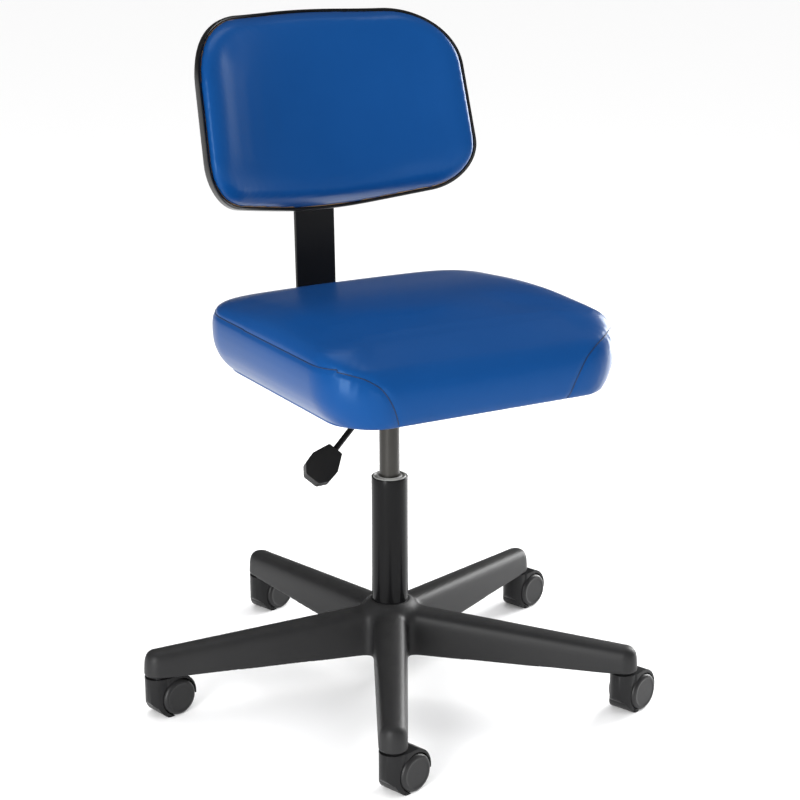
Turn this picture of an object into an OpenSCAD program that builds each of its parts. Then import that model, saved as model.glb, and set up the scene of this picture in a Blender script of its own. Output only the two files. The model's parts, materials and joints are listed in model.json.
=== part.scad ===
// Swivel office chair: five-star base on hooded twin-wheel casters, gas lift,
// seat mechanism with a height lever, upholstered seat, and a backrest on a bent flat bar.
// Millimetres, +Z up. The origin is on the floor, on the column's axis. The chair faces -Y.

/* [Base] */
// Distance from the column's axis to each caster's stem
base_reach = 329; // [270:1:400]
// Turn of the first arm from the front, seen from above
base_turn = -28.65; // [-36:0.05:36]
// Width of an arm where it leaves the hub
arm_root_w = 48; // [40:1:60]
// Width of an arm at its tip
arm_tip_w = 37; // [34:1:46]
// Height of the arms' underside at the tip
arm_tip_z = 58.4; // [56:0.1:75]
// Thickness of an arm at its tip
arm_tip_h = 35.5; // [28:0.5:45]
// Height of the hub's lower rim
hub_z = 52; // [44:1:58]
// Height of the hub's top rim
hub_top = 124.5; // [116:0.5:149]
// Radius of the hub
hub_r = 38; // [34:1:46]
// Wall of the moulded arms
arm_wall = 4.5; // [3:0.5:7]

/* [Casters] */
// Diameter of a caster wheel
wheel_d = 50; // [44:1:52]
// Width of one wheel of the pair
wheel_w = 14; // [11:0.5:16]
// Distance between the two wheels of a pair
wheel_gap = 17.4; // [16:0.2:22]
// Distance from the stem's axis to the wheels' axle
caster_trail = 20.8; // [16:0.2:26]
// Diameter of the stem in the arm's socket
stem_d = 11; // [9:0.5:12]
// Diameter of the hood around the stem
hood_d = 36; // [32:1:40]
// Diameter of the wheels' axle
axle_d = 6; // [5:0.5:8]

/* [Gas lift] */
// Outer diameter of the column tube
tube_d = 50; // [44:1:56]
// Wall of the column tube
tube_wall = 2; // [1.5:0.1:3]
// Height of the column tube's top
tube_top = 302.7; // [270:0.1:330]
// Outer diameter of the gas cylinder
gas_d = 28; // [26:0.5:30]
// Diameter of the piston rod
rod_d = 10; // [8:0.5:12]
// Travel of the seat downwards from where it stands
lift_down = 75; // [50:1:76]
// Travel of the seat upwards from where it stands
lift_up = 50; // [20:1:60]

/* [Seat] */
// Height of the seat board's underside
seat_z = 457; // [450:1:500]
// Width of the seat cushion
seat_w = 432; // [380:1:520]
// Distance from the column's axis to the front of the seat
seat_front = 266; // [220:1:320]
// Distance from the column's axis to the back of the seat
seat_back = 168; // [150:1:180]
// Height of the seat cushion at its crown
seat_h = 110; // [85:1:130]
// Radius of the seat's front corners, seen from above
seat_front_r = 76; // [50:1:110]
// Radius of the seat's back corners, seen from above
seat_back_r = 95; // [60:1:120]
// Thickness of the plywood seat board
board_t = 12; // [9:1:15]
// Distance between the two arm-rest nuts on each side
arm_nut_pitch = 70; // [50:1:90]

/* [Mechanism] */
// Width of the mechanism's top plate
mech_w = 200; // [170:1:240]
// Width of the mechanism's channel, outside
channel_w = 88; // [86:1:110]
// Depth of the channel below the top plate
channel_h = 47.5; // [44:0.5:54]
// Thickness of the mechanism's sheet steel
sheet_t = 3; // [2:0.5:4]
// Diameter of the lever's rod
lever_d = 8; // [6:0.5:10]
// Distance from the column's axis to the middle of the lever's grip
lever_reach = 161; // [140:1:220]
// Fall of the lever below level
lever_slope = 32; // [28:0.5:36]
// Direction of the lever seen from above
lever_turn = 201.5; // [190:0.5:215]
// Roll of the lever's flat grip about its rod
grip_roll = 45; // [0:5:60]
// Length of the lever's grip
grip_l = 55; // [45:1:80]
// Width of the lever's grip
grip_w = 41; // [30:1:50]

/* [Back] */
// Width of the flat back bar
bar_w = 61; // [45:1:62]
// Thickness of the flat back bar
bar_t = 6; // [5:0.5:8]
// Distance from the column's axis to the bar's upright, at the bottom
bar_y = 208.8; // [208:0.1:260]
// Lean of the bar's lower upright
bar_lean = 1.6; // [0:0.1:6]
// Height of the bar's upper bend
bar_bend_z = 650; // [620:1:700]
// Lean of the backrest
back_tilt = 14.5; // [5:0.5:20]
// Width of the backrest at the top
back_top_w = 391; // [340:1:460]
// Width of the backrest at the bottom
back_bottom_w = 409; // [360:1:480]
// Height of the backrest between its corners
back_h = 244; // [210:1:300]
// Radius of the backrest's curve, seen from above
back_r = 300; // [280:5:600]
// Thickness of the back cushion
pad_t = 38; // [25:1:50]
// Thickness of the plywood back board
back_board_t = 9; // [7:1:12]
// Travel of the backrest down the bar
back_down = 40; // [10:1:50]
// Travel of the backrest up the bar
back_up = 35; // [10:1:40]

/* [Hidden] */
$fn = 64;
ARMS = 5;
STEP = 360 / ARMS;
// Directions in which the five casters trail at rest
TRAIL = [16.7, 19.7, 18.2, 18.0, 12.8];

run_gap = 0.05;     // radial clearance of a shaft that turns or slides
slide_gap = 0.2;    // clearance of the flat bar in its guides
part_gap = 0.3;     // clearance between faces of parts that move past each other
eps = 0.5;          // overshoot of a cut

// Base and caster
arm_root_top = hub_top - 7;
collar_slope_h = 16;
stem_r = stem_d / 2;
socket_top = arm_tip_z + arm_tip_h - 4;
collar_t = 2;
collar_r = 8.5;
hood_top = arm_tip_z - collar_t;
pin_r = stem_r - 0.5;
pin_z = hood_top - 26;
wheel_r = wheel_d / 2;
axle_r = axle_d / 2;
wheel_in = wheel_gap / 2;
wheel_out = wheel_in + wheel_w;
fin_h = wheel_in - 0.8;
hood_r = hood_d / 2;
hood_half = wheel_out - 3;
wheel_room = wheel_r + 1.4;
rib_t = 3;
rib_up = 6;
rib_pitch = 48;

// Gas lift
tube_r = tube_d / 2;
tube_in = tube_r - tube_wall;
tube_z = 38;
floor_t = 3;
gas_r = gas_d / 2;
gas_in = gas_r - 2;
rod_r = rod_d / 2;
guide_l = 70;
bearing_h = 6;
bearing_r = 12;
mech_top = seat_z - 1.5;
channel_z = mech_top - channel_h;
gas_top = channel_z + 14;
pin_travel = 5;
pin_d = 6;
pin_top = gas_top + 9;
seal_h = 16;
piston_h = 12;
gas_z = tube_z + floor_t + bearing_h + 18 + lift_down;
piston_z = gas_z + seal_h + lift_up + 2;
socket_r = 20;

// Lever, drawn along +X from the point where its axis crosses the column's axis
lever_r = lever_d / 2;
lever_z = pin_top + part_gap + lever_r / cos(lever_slope) + pin_d / 2 * tan(lever_slope);
pivot_out = 30;
pivot_s = pivot_out / cos(lever_slope);
pivot_r = 2.5;
pivot_z = lever_z - pivot_out * tan(lever_slope);
eye_r = 6.5;
eye_half = 6.5;
ear_t = 2.5;
grip_t = 14;

// Seat
mech_front = 110;
mech_back = 130;
bolt_in = 22;
bolt_r = 3.1;
bolt_x = mech_w / 2 - bolt_in;
bolt_ys = [-mech_front + bolt_in, mech_back - bolt_in];
nut_r = 4.3;
nut_bore = 3.4;
cover_t = seat_z - mech_top;
arm_nut_x = mech_w / 2 + 40;
arm_nut_y = -20;
arm_nuts = [for (s = [-1, 1], e = [-0.5, 0.5]) [s * arm_nut_x, arm_nut_y + e * arm_nut_pitch]];
seat_bolt_spots = [for (s = [-1, 1], y = bolt_ys) [s * bolt_x, y]];
board_in = 28;
cover_in = 39;

// Back bar: its path in the (Y, Z) plane, along the middle of its thickness
channel_in = channel_w / 2 - sheet_t;
guide_floor = 2.3;
bar_z = channel_z + sheet_t + guide_floor + slide_gap + bar_t / 2;
bar_in_y = 50;
bend_y = bar_y + (bar_bend_z - bar_z) * tan(bar_lean);
back_rise = 118.5;
bracket_half = 35;
bar_top_l = back_rise + bracket_half + back_up + 5;
bar_path = [
    [bar_in_y, bar_z],
    [bar_y, bar_z],
    [bend_y, bar_bend_z],
    [bend_y + bar_top_l * sin(back_tilt), bar_bend_z + bar_top_l * cos(back_tilt)]
];
bar_bends = [22, 60];
guide_y = [60, mech_back];
clamp_y = 94;
clamp_r = 5;
clamp_nut_h = 8;

// Backrest, drawn in its own frame: X across, Y to the rear, Z up along the bar
bar_n = 36.7;
shell_skin = 3;
boss_n = back_board_t + 8;
plate_t = 3;
liner_t = 1;
liner_in_n = bar_t / 2 + slide_gap;
liner_in_u = bar_w / 2 + slide_gap;
sleeve_n = liner_in_n + liner_t;
sleeve_u = liner_in_u + liner_t;
screw_u = 44;
screw_v = 30;
back_spots = [for (s = [-1, 1], t = [-1, 1]) [s * screw_u, t * screw_v]];
knob_r = 24;
knob_h = 24;
screw_r = 4;
back_nut_h = 7;
back_barrel_l = back_board_t - 2 - pow(screw_u + 4, 2) / (2 * (back_r + back_board_t));
back_crown = 16;
back_top_r = 95;
back_bottom_r = 59;
trim_out = 2;
pad_half = back_h / 2 + back_crown / 2 + 1;
pad_front_r = back_r * 1.45;

function caster_names(piece) = [for (i = [1:ARMS]) str(piece, "_", i)];

// ---- Outlines -------------------------------------------------------------

function unit(v) = v / norm(v);
function to_left(v) = [-v[1], v[0]];

// Arc that rounds the corner b between a and c, moved sideways by off
function corner_arc(a, b, c, r, off = 0, steps = 12) =
    let (
        u = unit(b - a),
        v = unit(c - b),
        turn = cross(u, v) > 0 ? 1 : -1,
        swing = acos(min(1, max(-1, u * v))),
        centre = b - r * tan(swing / 2) * u + turn * r * to_left(u),
        from = atan2(-turn * to_left(u)[1], -turn * to_left(u)[0])
    )
    [for (k = [0:steps])
        centre + (r - turn * off) * [
            cos(from + turn * swing * k / steps),
            sin(from + turn * swing * k / steps)
        ]
    ];

// Closed outline with a radius at each corner
function rounded(points, radii, steps = 12) =
    let (n = len(points))
    [for (i = [0:n - 1])
        each corner_arc(points[(i + n - 1) % n], points[i], points[(i + 1) % n], radii[i], 0, steps)
    ];

// One side of a strip that follows a path with round bends
function strip_side(path, radii, off) =
    let (
        n = len(path),
        first = unit(path[1] - path[0]),
        last = unit(path[n - 1] - path[n - 2])
    )
    concat(
        [path[0] + off * to_left(first)],
        [for (i = [1:n - 2]) each corner_arc(path[i - 1], path[i], path[i + 1], radii[i - 1], off)],
        [path[n - 1] + off * to_left(last)]
    );

// Outline of a strip of thickness t along a path
function strip(path, radii, t) =
    let (back = strip_side(path, radii, -t / 2), n = len(back))
    concat(strip_side(path, radii, t / 2), [for (i = [0:n - 1]) back[n - 1 - i]]);

// The seat seen from above, drawn in by a margin
function seat_outline(in) =
    let (w = seat_w / 2 - in, f = seat_front - in, b = seat_back - in)
    rounded(
        [[-w, -f], [w, -f], [w, b], [-w, b]],
        [seat_front_r - in, seat_front_r - in, seat_back_r - in, seat_back_r - in]
    );

// The backrest seen from the front, drawn in by a margin
function back_outline(in) =
    let (t = back_top_w / 2 - in, b = back_bottom_w / 2 - in, h = back_h / 2 - in)
    rounded(
        [[-b, -h], [0, -h - back_crown], [b, -h], [t, h], [0, h + back_crown], [-t, h]],
        [back_bottom_r - in, 900, back_bottom_r - in, back_top_r - in, 700, back_top_r - in]
    );

// ---- Placing --------------------------------------------------------------

// Direction of arm i: angle from +X
function arm_angle(i) = base_turn - 90 + STEP * i;

module at_arm(i) rotate([0, 0, arm_angle(i)]) children();

// Stem axis of caster i, with +X along its trail
module at_caster(i)
    at_arm(i) translate([base_reach, 0, 0]) rotate([0, 0, TRAIL[i] - arm_angle(i)]) children();

module at_lever()
    translate([0, 0, lever_z]) rotate([0, lever_slope, lever_turn]) children();

module at_back()
    translate([0, bend_y, bar_bend_z])
        rotate([-back_tilt, 0, 0])
            translate([0, -bar_n, back_rise])
                children();

// Points the local Z axis to the rear of the backrest
module to_rear() rotate([-90, 0, 0]) children();

// ---- Hardware shapes ------------------------------------------------------

// Plate profile in (Y, Z), spread across X
module across(w) rotate([90, 0, 90]) translate([0, 0, -w / 2]) linear_extrude(w) children();

// Star grip with a fixed screw: z = 0 is the face towards the nut, the screw points to -Z
module star_knob(r, h, screw, screw_l) {
    difference() {
        union() {
            translate([0, 0, 4]) cylinder(r = r, h = h - 4);
            cylinder(r = r * 0.45, h = 5);
        }
        for (i = [0:5])
            rotate([0, 0, 60 * i]) translate([r * 1.24, 0, -eps]) cylinder(r = r * 0.42, h = h + 2 * eps);
        translate([0, 0, h - 2]) cylinder(r = r * 0.55, h = 3);
    }
    translate([0, 0, -screw_l]) cylinder(r = screw, h = screw_l + 1);
}

module hex_nut(flat, h, bore)
    difference() {
        cylinder(r = flat / sqrt(3), h = h, $fn = 6);
        translate([0, 0, -eps]) cylinder(r = bore, h = h + 2 * eps);
    }

// Flanged nut: the flange is at the top, the barrel hangs below it
module tee_nut(barrel_r, barrel_l, bore, flange_r = 9.5, flange_t = 1.5)
    difference() {
        union() {
            translate([0, 0, -barrel_l]) cylinder(r = barrel_r, h = barrel_l);
            cylinder(r = flange_r, h = flange_t);
        }
        translate([0, 0, -barrel_l - eps]) cylinder(r = bore, h = barrel_l + flange_t + 2 * eps);
    }

// ---- Base and column ------------------------------------------------------

// Plan of an arm along X with a half-round end, drawn in by a margin
module arm_plan(in, start, end) {
    root = arm_root_w / 2 - in;
    tip = arm_tip_w / 2 - in;
    polygon([[start, -root], [end, -tip], [end, tip], [start, root]]);
    translate([end, 0]) circle(r = tip);
}

// Side view of an arm: (distance, height), with its underside lowered by drop
module arm_side(in, start, end, drop)
    polygon(rounded(
        [
            [start, hub_z - drop],
            [end, arm_tip_z - drop],
            [end, arm_tip_z + arm_tip_h - in],
            [start, arm_root_top - in]
        ],
        [0.5, 0.5, 13, 0.5],
        4
    ));

// Body of an arm: its plan and its side view, crossed
module arm_body(in, start, end, nose, drop = 0)
    intersection() {
        linear_extrude(hub_top) arm_plan(in, start, end);
        rotate([90, 0, 0])
            translate([0, 0, -arm_root_w])
                linear_extrude(2 * arm_root_w) arm_side(in, start, end + nose, drop);
    }

// Ribs under an arm: one along it and several across
module arm_ribs() {
    translate([hub_r - 4, -rib_t / 2, hub_z + rib_up]) cube([base_reach - hub_r, rib_t, hub_top]);
    for (x = [hub_r + rib_pitch:rib_pitch:base_reach - arm_tip_w])
        translate([x, -arm_root_w, hub_z + rib_up]) cube([rib_t, 2 * arm_root_w, hub_top]);
}

module base_arm()
    difference() {
        arm_body(0, 10, base_reach, arm_tip_w / 2);
        difference() {
            arm_body(arm_wall, hub_r - 2, base_reach - arm_tip_w, 12, 10);
            arm_ribs();
        }
    }

module five_star_base()
    color([0.17, 0.17, 0.18])
        difference() {
            union() {
                for (i = [0:ARMS - 1]) at_arm(i) base_arm();
                rotate_extrude() polygon(rounded(
                    [[1, hub_z - 4], [hub_r, hub_z - 4], [hub_r, hub_top - collar_slope_h], [tube_r + 3, hub_top], [1, hub_top]],
                    [0.1, 4, 5, 1, 0.1],
                    4
                ));
            }
            translate([0, 0, hub_z - 10]) cylinder(r = tube_r, h = hub_top);
            for (i = [0:ARMS - 1])
                at_arm(i) translate([base_reach, 0, arm_tip_z - 5]) cylinder(r = stem_r, h = socket_top - arm_tip_z + 5);
        }

module column_tube()
    color([0.08, 0.08, 0.085])
        difference() {
            translate([0, 0, tube_z]) cylinder(r = tube_r, h = tube_top - tube_z);
            translate([0, 0, tube_z + floor_t]) cylinder(r = tube_in, h = tube_top);
            translate([0, 0, tube_z - eps]) cylinder(r = rod_r + run_gap, h = floor_t + 2 * eps);
        }

module column_guide()
    color([0.55, 0.55, 0.54])
        difference() {
            translate([0, 0, tube_top - guide_l]) cylinder(r = tube_in, h = guide_l + 1);
            translate([0, 0, tube_top - guide_l - eps]) cylinder(r = gas_r + run_gap, h = guide_l + 3);
            translate([0, 0, tube_top - 2]) difference() {
                cylinder(r = tube_in - 2.5, h = 4);
                translate([0, 0, -1]) cylinder(r = gas_r + 3, h = 6);
            }
        }

module thrust_bearing()
    color([0.7, 0.7, 0.72])
        difference() {
            translate([0, 0, tube_z + floor_t]) cylinder(r = bearing_r, h = bearing_h);
            translate([0, 0, tube_z]) cylinder(r = rod_r + part_gap, h = bearing_h + 2 * floor_t);
            translate([0, 0, tube_z + floor_t + bearing_h / 2])
                rotate_extrude() translate([bearing_r, 0]) circle(r = 1.4);
        }

module spring_rod()
    color([0.75, 0.75, 0.77]) {
        translate([0, 0, tube_z - 6]) cylinder(r = rod_r, h = piston_z - tube_z + 7);
        translate([0, 0, tube_z + floor_t + bearing_h + part_gap]) cylinder(r = bearing_r - 2, h = 4);
        translate([0, 0, piston_z]) cylinder(r = gas_in - run_gap, h = piston_h);
    }

module rod_clip()
    color([0.6, 0.6, 0.62])
        difference() {
            translate([0, 0, tube_z - 3]) cylinder(r = rod_r + 4, h = 3 - part_gap);
            translate([0, 0, tube_z - 4]) cylinder(r = rod_r, h = 6);
        }

module gas_cylinder()
    color([0.2, 0.19, 0.18])
        difference() {
            translate([0, 0, gas_z]) cylinder(r = gas_r, h = gas_top - gas_z);
            translate([0, 0, gas_z - eps]) cylinder(r = rod_r + run_gap, h = seal_h + 2 * eps);
            translate([0, 0, gas_z + seal_h]) cylinder(r = gas_in, h = gas_top - gas_z - seal_h - 18);
            translate([0, 0, gas_top - 20]) cylinder(r = pin_d / 2 + run_gap, h = 25);
        }

module release_pin()
    color([0.8, 0.8, 0.8])
        translate([0, 0, gas_top - 24]) cylinder(r = pin_d / 2, h = pin_top - gas_top + 24);

// ---- Casters --------------------------------------------------------------

module caster_stem(i)
    color([0.7, 0.7, 0.7])
        at_caster(i) {
            translate([0, 0, arm_tip_z]) cylinder(r = stem_r, h = socket_top - arm_tip_z - 2);
            translate([0, 0, hood_top]) cylinder(r = collar_r, h = collar_t);
            translate([0, 0, pin_z + 1]) cylinder(r = pin_r, h = hood_top - pin_z);
        }

// Hood seen from the side: (along the trail, height)
module hood_side()
    difference() {
        union() {
            intersection() {
                translate([caster_trail - 3, wheel_r + 1.5]) circle(r = wheel_r + 5.8);
                translate([-hood_r, 0]) square([2 * wheel_d, hood_top - part_gap]);
            }
            polygon(rounded(
                [
                    [-hood_r, 17],
                    [caster_trail - 8, 9],
                    [caster_trail, hood_top - part_gap],
                    [-hood_r, hood_top - part_gap]
                ],
                [12, 5, 1, 1]
            ));
        }
        translate([caster_trail - 2, -1]) square([wheel_d, wheel_r - 1]);
    }

// Hood seen from above
module hood_plan() {
    circle(r = hood_r);
    polygon(rounded(
        [[0, -hood_half], [wheel_d + 6, -hood_half + 1], [wheel_d + 6, hood_half - 1], [0, hood_half]],
        [6, 7, 7, 6]
    ));
}

module caster_hood(i)
    color([0.13, 0.13, 0.135])
        at_caster(i)
            difference() {
                intersection() {
                    rotate([90, 0, 0]) translate([0, 0, -wheel_d]) linear_extrude(2 * wheel_d) hood_side();
                    linear_extrude(hood_top) hood_plan();
                }
                for (s = [-1, 1])
                    translate([caster_trail, s * fin_h, wheel_r])
                        rotate([-90 * s, 0, 0])
                            cylinder(r = wheel_room, h = wheel_d);
                translate([0, 0, pin_z]) cylinder(r = pin_r + run_gap, h = hood_top);
                translate([caster_trail, 0, wheel_r])
                    rotate([90, 0, 0])
                        translate([0, 0, -wheel_d])
                            cylinder(r = axle_r, h = 2 * wheel_d);
            }

module caster_axle(i)
    color([0.7, 0.7, 0.7])
        at_caster(i)
            translate([caster_trail, 0, wheel_r])
                rotate([90, 0, 0])
                    translate([0, 0, 4 - wheel_out])
                        cylinder(r = axle_r, h = 2 * wheel_out - 8);

// Wheel profile: (radius, distance from the caster's middle)
module wheel_profile()
    polygon([
        [axle_r + run_gap, wheel_in],
        [axle_r + 4, wheel_in],
        [axle_r + 4, wheel_in + 2],
        [wheel_r - 5, wheel_in + 2],
        [wheel_r - 5, wheel_in],
        [wheel_r - 1, wheel_in],
        [wheel_r, wheel_in + 1],
        [wheel_r, wheel_out - 4],
        [wheel_r - 2.6, wheel_out],
        [0, wheel_out],
        [0, wheel_out - 3.5],
        [axle_r + run_gap, wheel_out - 3.5]
    ]);

module caster_wheel(i, side)
    color([0.15, 0.15, 0.155])
        at_caster(i)
            translate([caster_trail, 0, wheel_r])
                rotate([-90 * side, 0, 0])
                    rotate_extrude() wheel_profile();

// ---- Mechanism ------------------------------------------------------------

module taper_socket()
    color([0.12, 0.12, 0.12])
        difference() {
            union() {
                translate([0, 0, channel_z - 20]) cylinder(r = socket_r, h = sheet_t + 27);
                translate([0, 0, channel_z + sheet_t]) cylinder(r = socket_r + 6, h = 2.5);
            }
            translate([0, 0, channel_z - 21]) cylinder(r = gas_r, h = 60);
        }

module lever_notch()
    rotate([0, 0, lever_turn])
        translate([socket_r + 2, -eye_half - ear_t - 1.5, channel_z - 2])
            cube([channel_w / 2 + 10, 2 * (eye_half + ear_t + 1.5), channel_h - sheet_t - 14]);

module lever_ears()
    at_lever_plan()
        for (s = [-1, 1])
            translate([-8, s > 0 ? eye_half + part_gap : -eye_half - part_gap - ear_t, -10])
                cube([16, ear_t, mech_top - sheet_t - pivot_z + 10.5]);

// Level frame at the lever's pivot, +X along the lever seen from above
module at_lever_plan()
    rotate([0, 0, lever_turn]) translate([pivot_out, 0, pivot_z]) children();

module mechanism_tray()
    color([0.1, 0.1, 0.1])
        difference() {
            union() {
                translate([-mech_w / 2, -mech_front, mech_top - sheet_t])
                    cube([mech_w, mech_front + mech_back, sheet_t]);
                difference() {
                    translate([-channel_w / 2, -62, channel_z])
                        cube([channel_w, mech_back + 62, channel_h - sheet_t + 0.01]);
                    translate([-channel_in, sheet_t - 62, channel_z + sheet_t])
                        cube([2 * channel_in, mech_back + 62, channel_h]);
                    lever_notch();
                }
                lever_ears();
            }
            translate([0, 0, channel_z - 1]) cylinder(r = socket_r, h = sheet_t + 2);
            translate([0, clamp_y, channel_z - 1]) cylinder(r = clamp_r + part_gap, h = sheet_t + 2);
            for (p = seat_bolt_spots)
                translate([p[0], p[1], mech_top - sheet_t - 1]) cylinder(r = bolt_r + part_gap, h = sheet_t + 2);
            at_lever_plan() rotate([90, 0, 0]) translate([0, 0, -20]) cylinder(r = pivot_r, h = 40);
        }

module lever_pin()
    color([0.7, 0.7, 0.7])
        at_lever_plan()
            rotate([90, 0, 0])
                translate([0, 0, -(eye_half + ear_t + 1)])
                    cylinder(r = pivot_r, h = 2 * (eye_half + ear_t + 1));

module lever_rod()
    color([0.07, 0.07, 0.07])
        difference() {
            union() {
                at_lever() rotate([0, 90, 0]) translate([0, 0, -7]) cylinder(r = lever_r, h = lever_reach);
                at_lever_plan() rotate([90, 0, 0]) translate([0, 0, -eye_half]) cylinder(r = eye_r, h = 2 * eye_half);
            }
            at_lever_plan() rotate([90, 0, 0]) translate([0, 0, -20]) cylinder(r = pivot_r + run_gap, h = 40);
        }

// Grip seen on its flat side: narrow at the rod, widest past the middle
function grip_outline() =
    let (a = grip_l / 2, w = grip_w / 2)
    rounded(
        [[-a, -w * 0.52], [-a * 0.1, -w], [a * 0.55, -w * 0.96], [a, -w * 0.5],
         [a, w * 0.5], [a * 0.55, w * 0.96], [-a * 0.1, w], [-a, w * 0.52]],
        [3, 6, 6, 5, 5, 6, 6, 3],
        6
    );

module lever_knob()
    color([0.07, 0.07, 0.07])
        at_lever()
            difference() {
                translate([lever_reach, 0, 0])
                    rotate([-grip_roll, 0, 0])
                        translate([0, 0, -grip_t / 2])
                            linear_extrude(grip_t) polygon(grip_outline());
                rotate([0, 90, 0]) translate([0, 0, -7]) cylinder(r = lever_r, h = lever_reach);
            }

module bar_guide()
    color([0.12, 0.12, 0.12])
        difference() {
            translate([-channel_in, guide_y[0], channel_z + sheet_t])
                cube([2 * channel_in, guide_y[1] - guide_y[0], 2 * guide_floor + 2 * slide_gap + bar_t]);
            translate([-bar_w / 2 - slide_gap, guide_y[0] - 1, bar_z - bar_t / 2 - slide_gap])
                cube([bar_w + 2 * slide_gap, guide_y[1], bar_t + 2 * slide_gap]);
            translate([0, clamp_y, channel_z]) cylinder(r = clamp_r + part_gap, h = sheet_t + guide_floor + 1);
        }

module clamp_nut()
    color([0.6, 0.6, 0.6])
        translate([0, clamp_y, channel_z - clamp_nut_h]) hex_nut(17, clamp_nut_h, clamp_r + run_gap);

module depth_knob()
    color([0.08, 0.08, 0.08])
        translate([0, clamp_y, channel_z - clamp_nut_h - 3])
            rotate([180, 0, 0])
                star_knob(
                    knob_r - 2, knob_h, clamp_r,
                    bar_z - bar_t / 2 - part_gap - (channel_z - clamp_nut_h - 3)
                );

// ---- Seat -----------------------------------------------------------------

module seat_holes(r)
    for (p = seat_bolt_spots) translate([p[0], p[1], seat_z - 10]) cylinder(r = r, h = 60);

module arm_holes(r)
    for (p = arm_nuts) translate([p[0], p[1], seat_z - 10]) cylinder(r = r, h = 60);

module seat_board()
    color([0.72, 0.58, 0.4])
        difference() {
            translate([0, 0, seat_z]) linear_extrude(board_t) polygon(seat_outline(board_in));
            seat_holes(nut_r);
            arm_holes(nut_r);
        }

module seat_cushion()
    color([0.1, 0.3, 0.62])
        difference() {
            intersection() {
                translate([0, 0, seat_z]) linear_extrude(seat_h) polygon(seat_outline(0));
                across(2 * seat_w) polygon(rounded(
                    [
                        [-seat_front + 5, seat_z],
                        [seat_back - 4, seat_z],
                        [seat_back + 2, seat_z + seat_h - 18],
                        [-120, seat_z + seat_h + 2],
                        [-seat_front - 4, seat_z + seat_h - 12]
                    ],
                    [10, 12, 42, 500, 62]
                ));
                rotate([90, 0, 0])
                    translate([0, 0, -seat_w])
                        linear_extrude(2 * seat_w)
                            polygon(rounded(
                                [
                                    [-seat_w / 2 + 26, seat_z],
                                    [seat_w / 2 - 26, seat_z],
                                    [seat_w / 2 + 1, seat_z + 34],
                                    [seat_w / 2 + 2, seat_z + seat_h - 2],
                                    [0, seat_z + seat_h + 8],
                                    [-seat_w / 2 - 2, seat_z + seat_h - 2],
                                    [-seat_w / 2 - 1, seat_z + 34]
                                ],
                                [16, 16, 60, 32, 600, 32, 60]
                            ));
            }
            translate([0, 0, seat_z - 1]) linear_extrude(board_t + 3) polygon(seat_outline(board_in));
        }

module under_cover()
    color([0.05, 0.05, 0.05])
        difference() {
            translate([0, 0, mech_top]) linear_extrude(cover_t) polygon(seat_outline(cover_in));
            seat_holes(bolt_r + part_gap);
            arm_holes(nut_r + 2);
        }

module seat_bolts()
    color([0.6, 0.6, 0.6])
        for (p = seat_bolt_spots)
            translate([p[0], p[1], mech_top - sheet_t]) {
                translate([0, 0, -4.5]) cylinder(r = 11 / sqrt(3), h = 4.5, $fn = 6);
                cylinder(r = bolt_r, h = sheet_t + cover_t + board_t - 1);
            }

module seat_tee_nuts()
    color([0.75, 0.75, 0.72])
        for (p = seat_bolt_spots)
            translate([p[0], p[1], seat_z + board_t]) tee_nut(nut_r, board_t - 2, bolt_r);

module arm_tee_nuts()
    color([0.75, 0.75, 0.72])
        for (p = arm_nuts)
            translate([p[0], p[1], seat_z + board_t]) tee_nut(nut_r, board_t - 2, nut_bore);

// ---- Back -----------------------------------------------------------------

module back_bar()
    color([0.06, 0.06, 0.06])
        across(bar_w) polygon(strip(bar_path, bar_bends, bar_t));

module bar_end_cap()
    color([0.05, 0.05, 0.05])
        at_back()
            translate([0, bar_n, bar_top_l - back_rise])
                difference() {
                    translate([-bar_w / 2 - 1.5, -bar_t / 2 - 1.5, 0]) cube([bar_w + 3, bar_t + 3, 3]);
                    translate([0, 0, -1]) cube([bar_w, bar_t, 2], center = true);
                }

module back_bracket()
    color([0.09, 0.09, 0.09])
        at_back()
            difference() {
                union() {
                    translate([-screw_u - 12, boss_n, -screw_v - 12])
                        cube([2 * screw_u + 24, plate_t, 2 * screw_v + 24]);
                    translate([-sleeve_u - plate_t, boss_n, -bracket_half])
                        cube([2 * (sleeve_u + plate_t), bar_n + sleeve_n + plate_t - boss_n, 2 * bracket_half]);
                }
                translate([-sleeve_u, bar_n - sleeve_n, -bracket_half - 1])
                    cube([2 * sleeve_u, 2 * sleeve_n, 2 * bracket_half + 2]);
                translate([-sleeve_u, boss_n + plate_t, -bracket_half - 1])
                    cube([2 * sleeve_u, bar_n - sleeve_n - boss_n - 2 * plate_t, 2 * bracket_half + 2]);
                for (p = back_spots)
                    translate([p[0], 0, p[1]]) to_rear() cylinder(r = 3 + part_gap, h = 60);
                translate([0, bar_n, 0]) to_rear() cylinder(r = screw_r + part_gap, h = 30);
            }

module bracket_liner()
    color([0.3, 0.3, 0.3])
        at_back()
            difference() {
                translate([-sleeve_u, bar_n - sleeve_n, -bracket_half])
                    cube([2 * sleeve_u, 2 * sleeve_n, 2 * bracket_half]);
                translate([-liner_in_u, bar_n - liner_in_n, -bracket_half - 1])
                    cube([2 * liner_in_u, 2 * liner_in_n, 2 * bracket_half + 2]);
                translate([0, bar_n, 0]) to_rear() cylinder(r = screw_r + part_gap, h = 30);
            }

module knob_nut()
    color([0.6, 0.6, 0.6])
        at_back()
            translate([0, bar_n + sleeve_n + plate_t, 0]) to_rear() hex_nut(14, back_nut_h, screw_r + run_gap);

module height_knob()
    color([0.08, 0.08, 0.08])
        at_back()
            translate([0, bar_n + sleeve_n + plate_t + back_nut_h + 2, 0])
                to_rear()
                    star_knob(
                        knob_r, knob_h, screw_r,
                        sleeve_n + plate_t + back_nut_h + 2 - bar_t / 2 - part_gap
                    );

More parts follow.
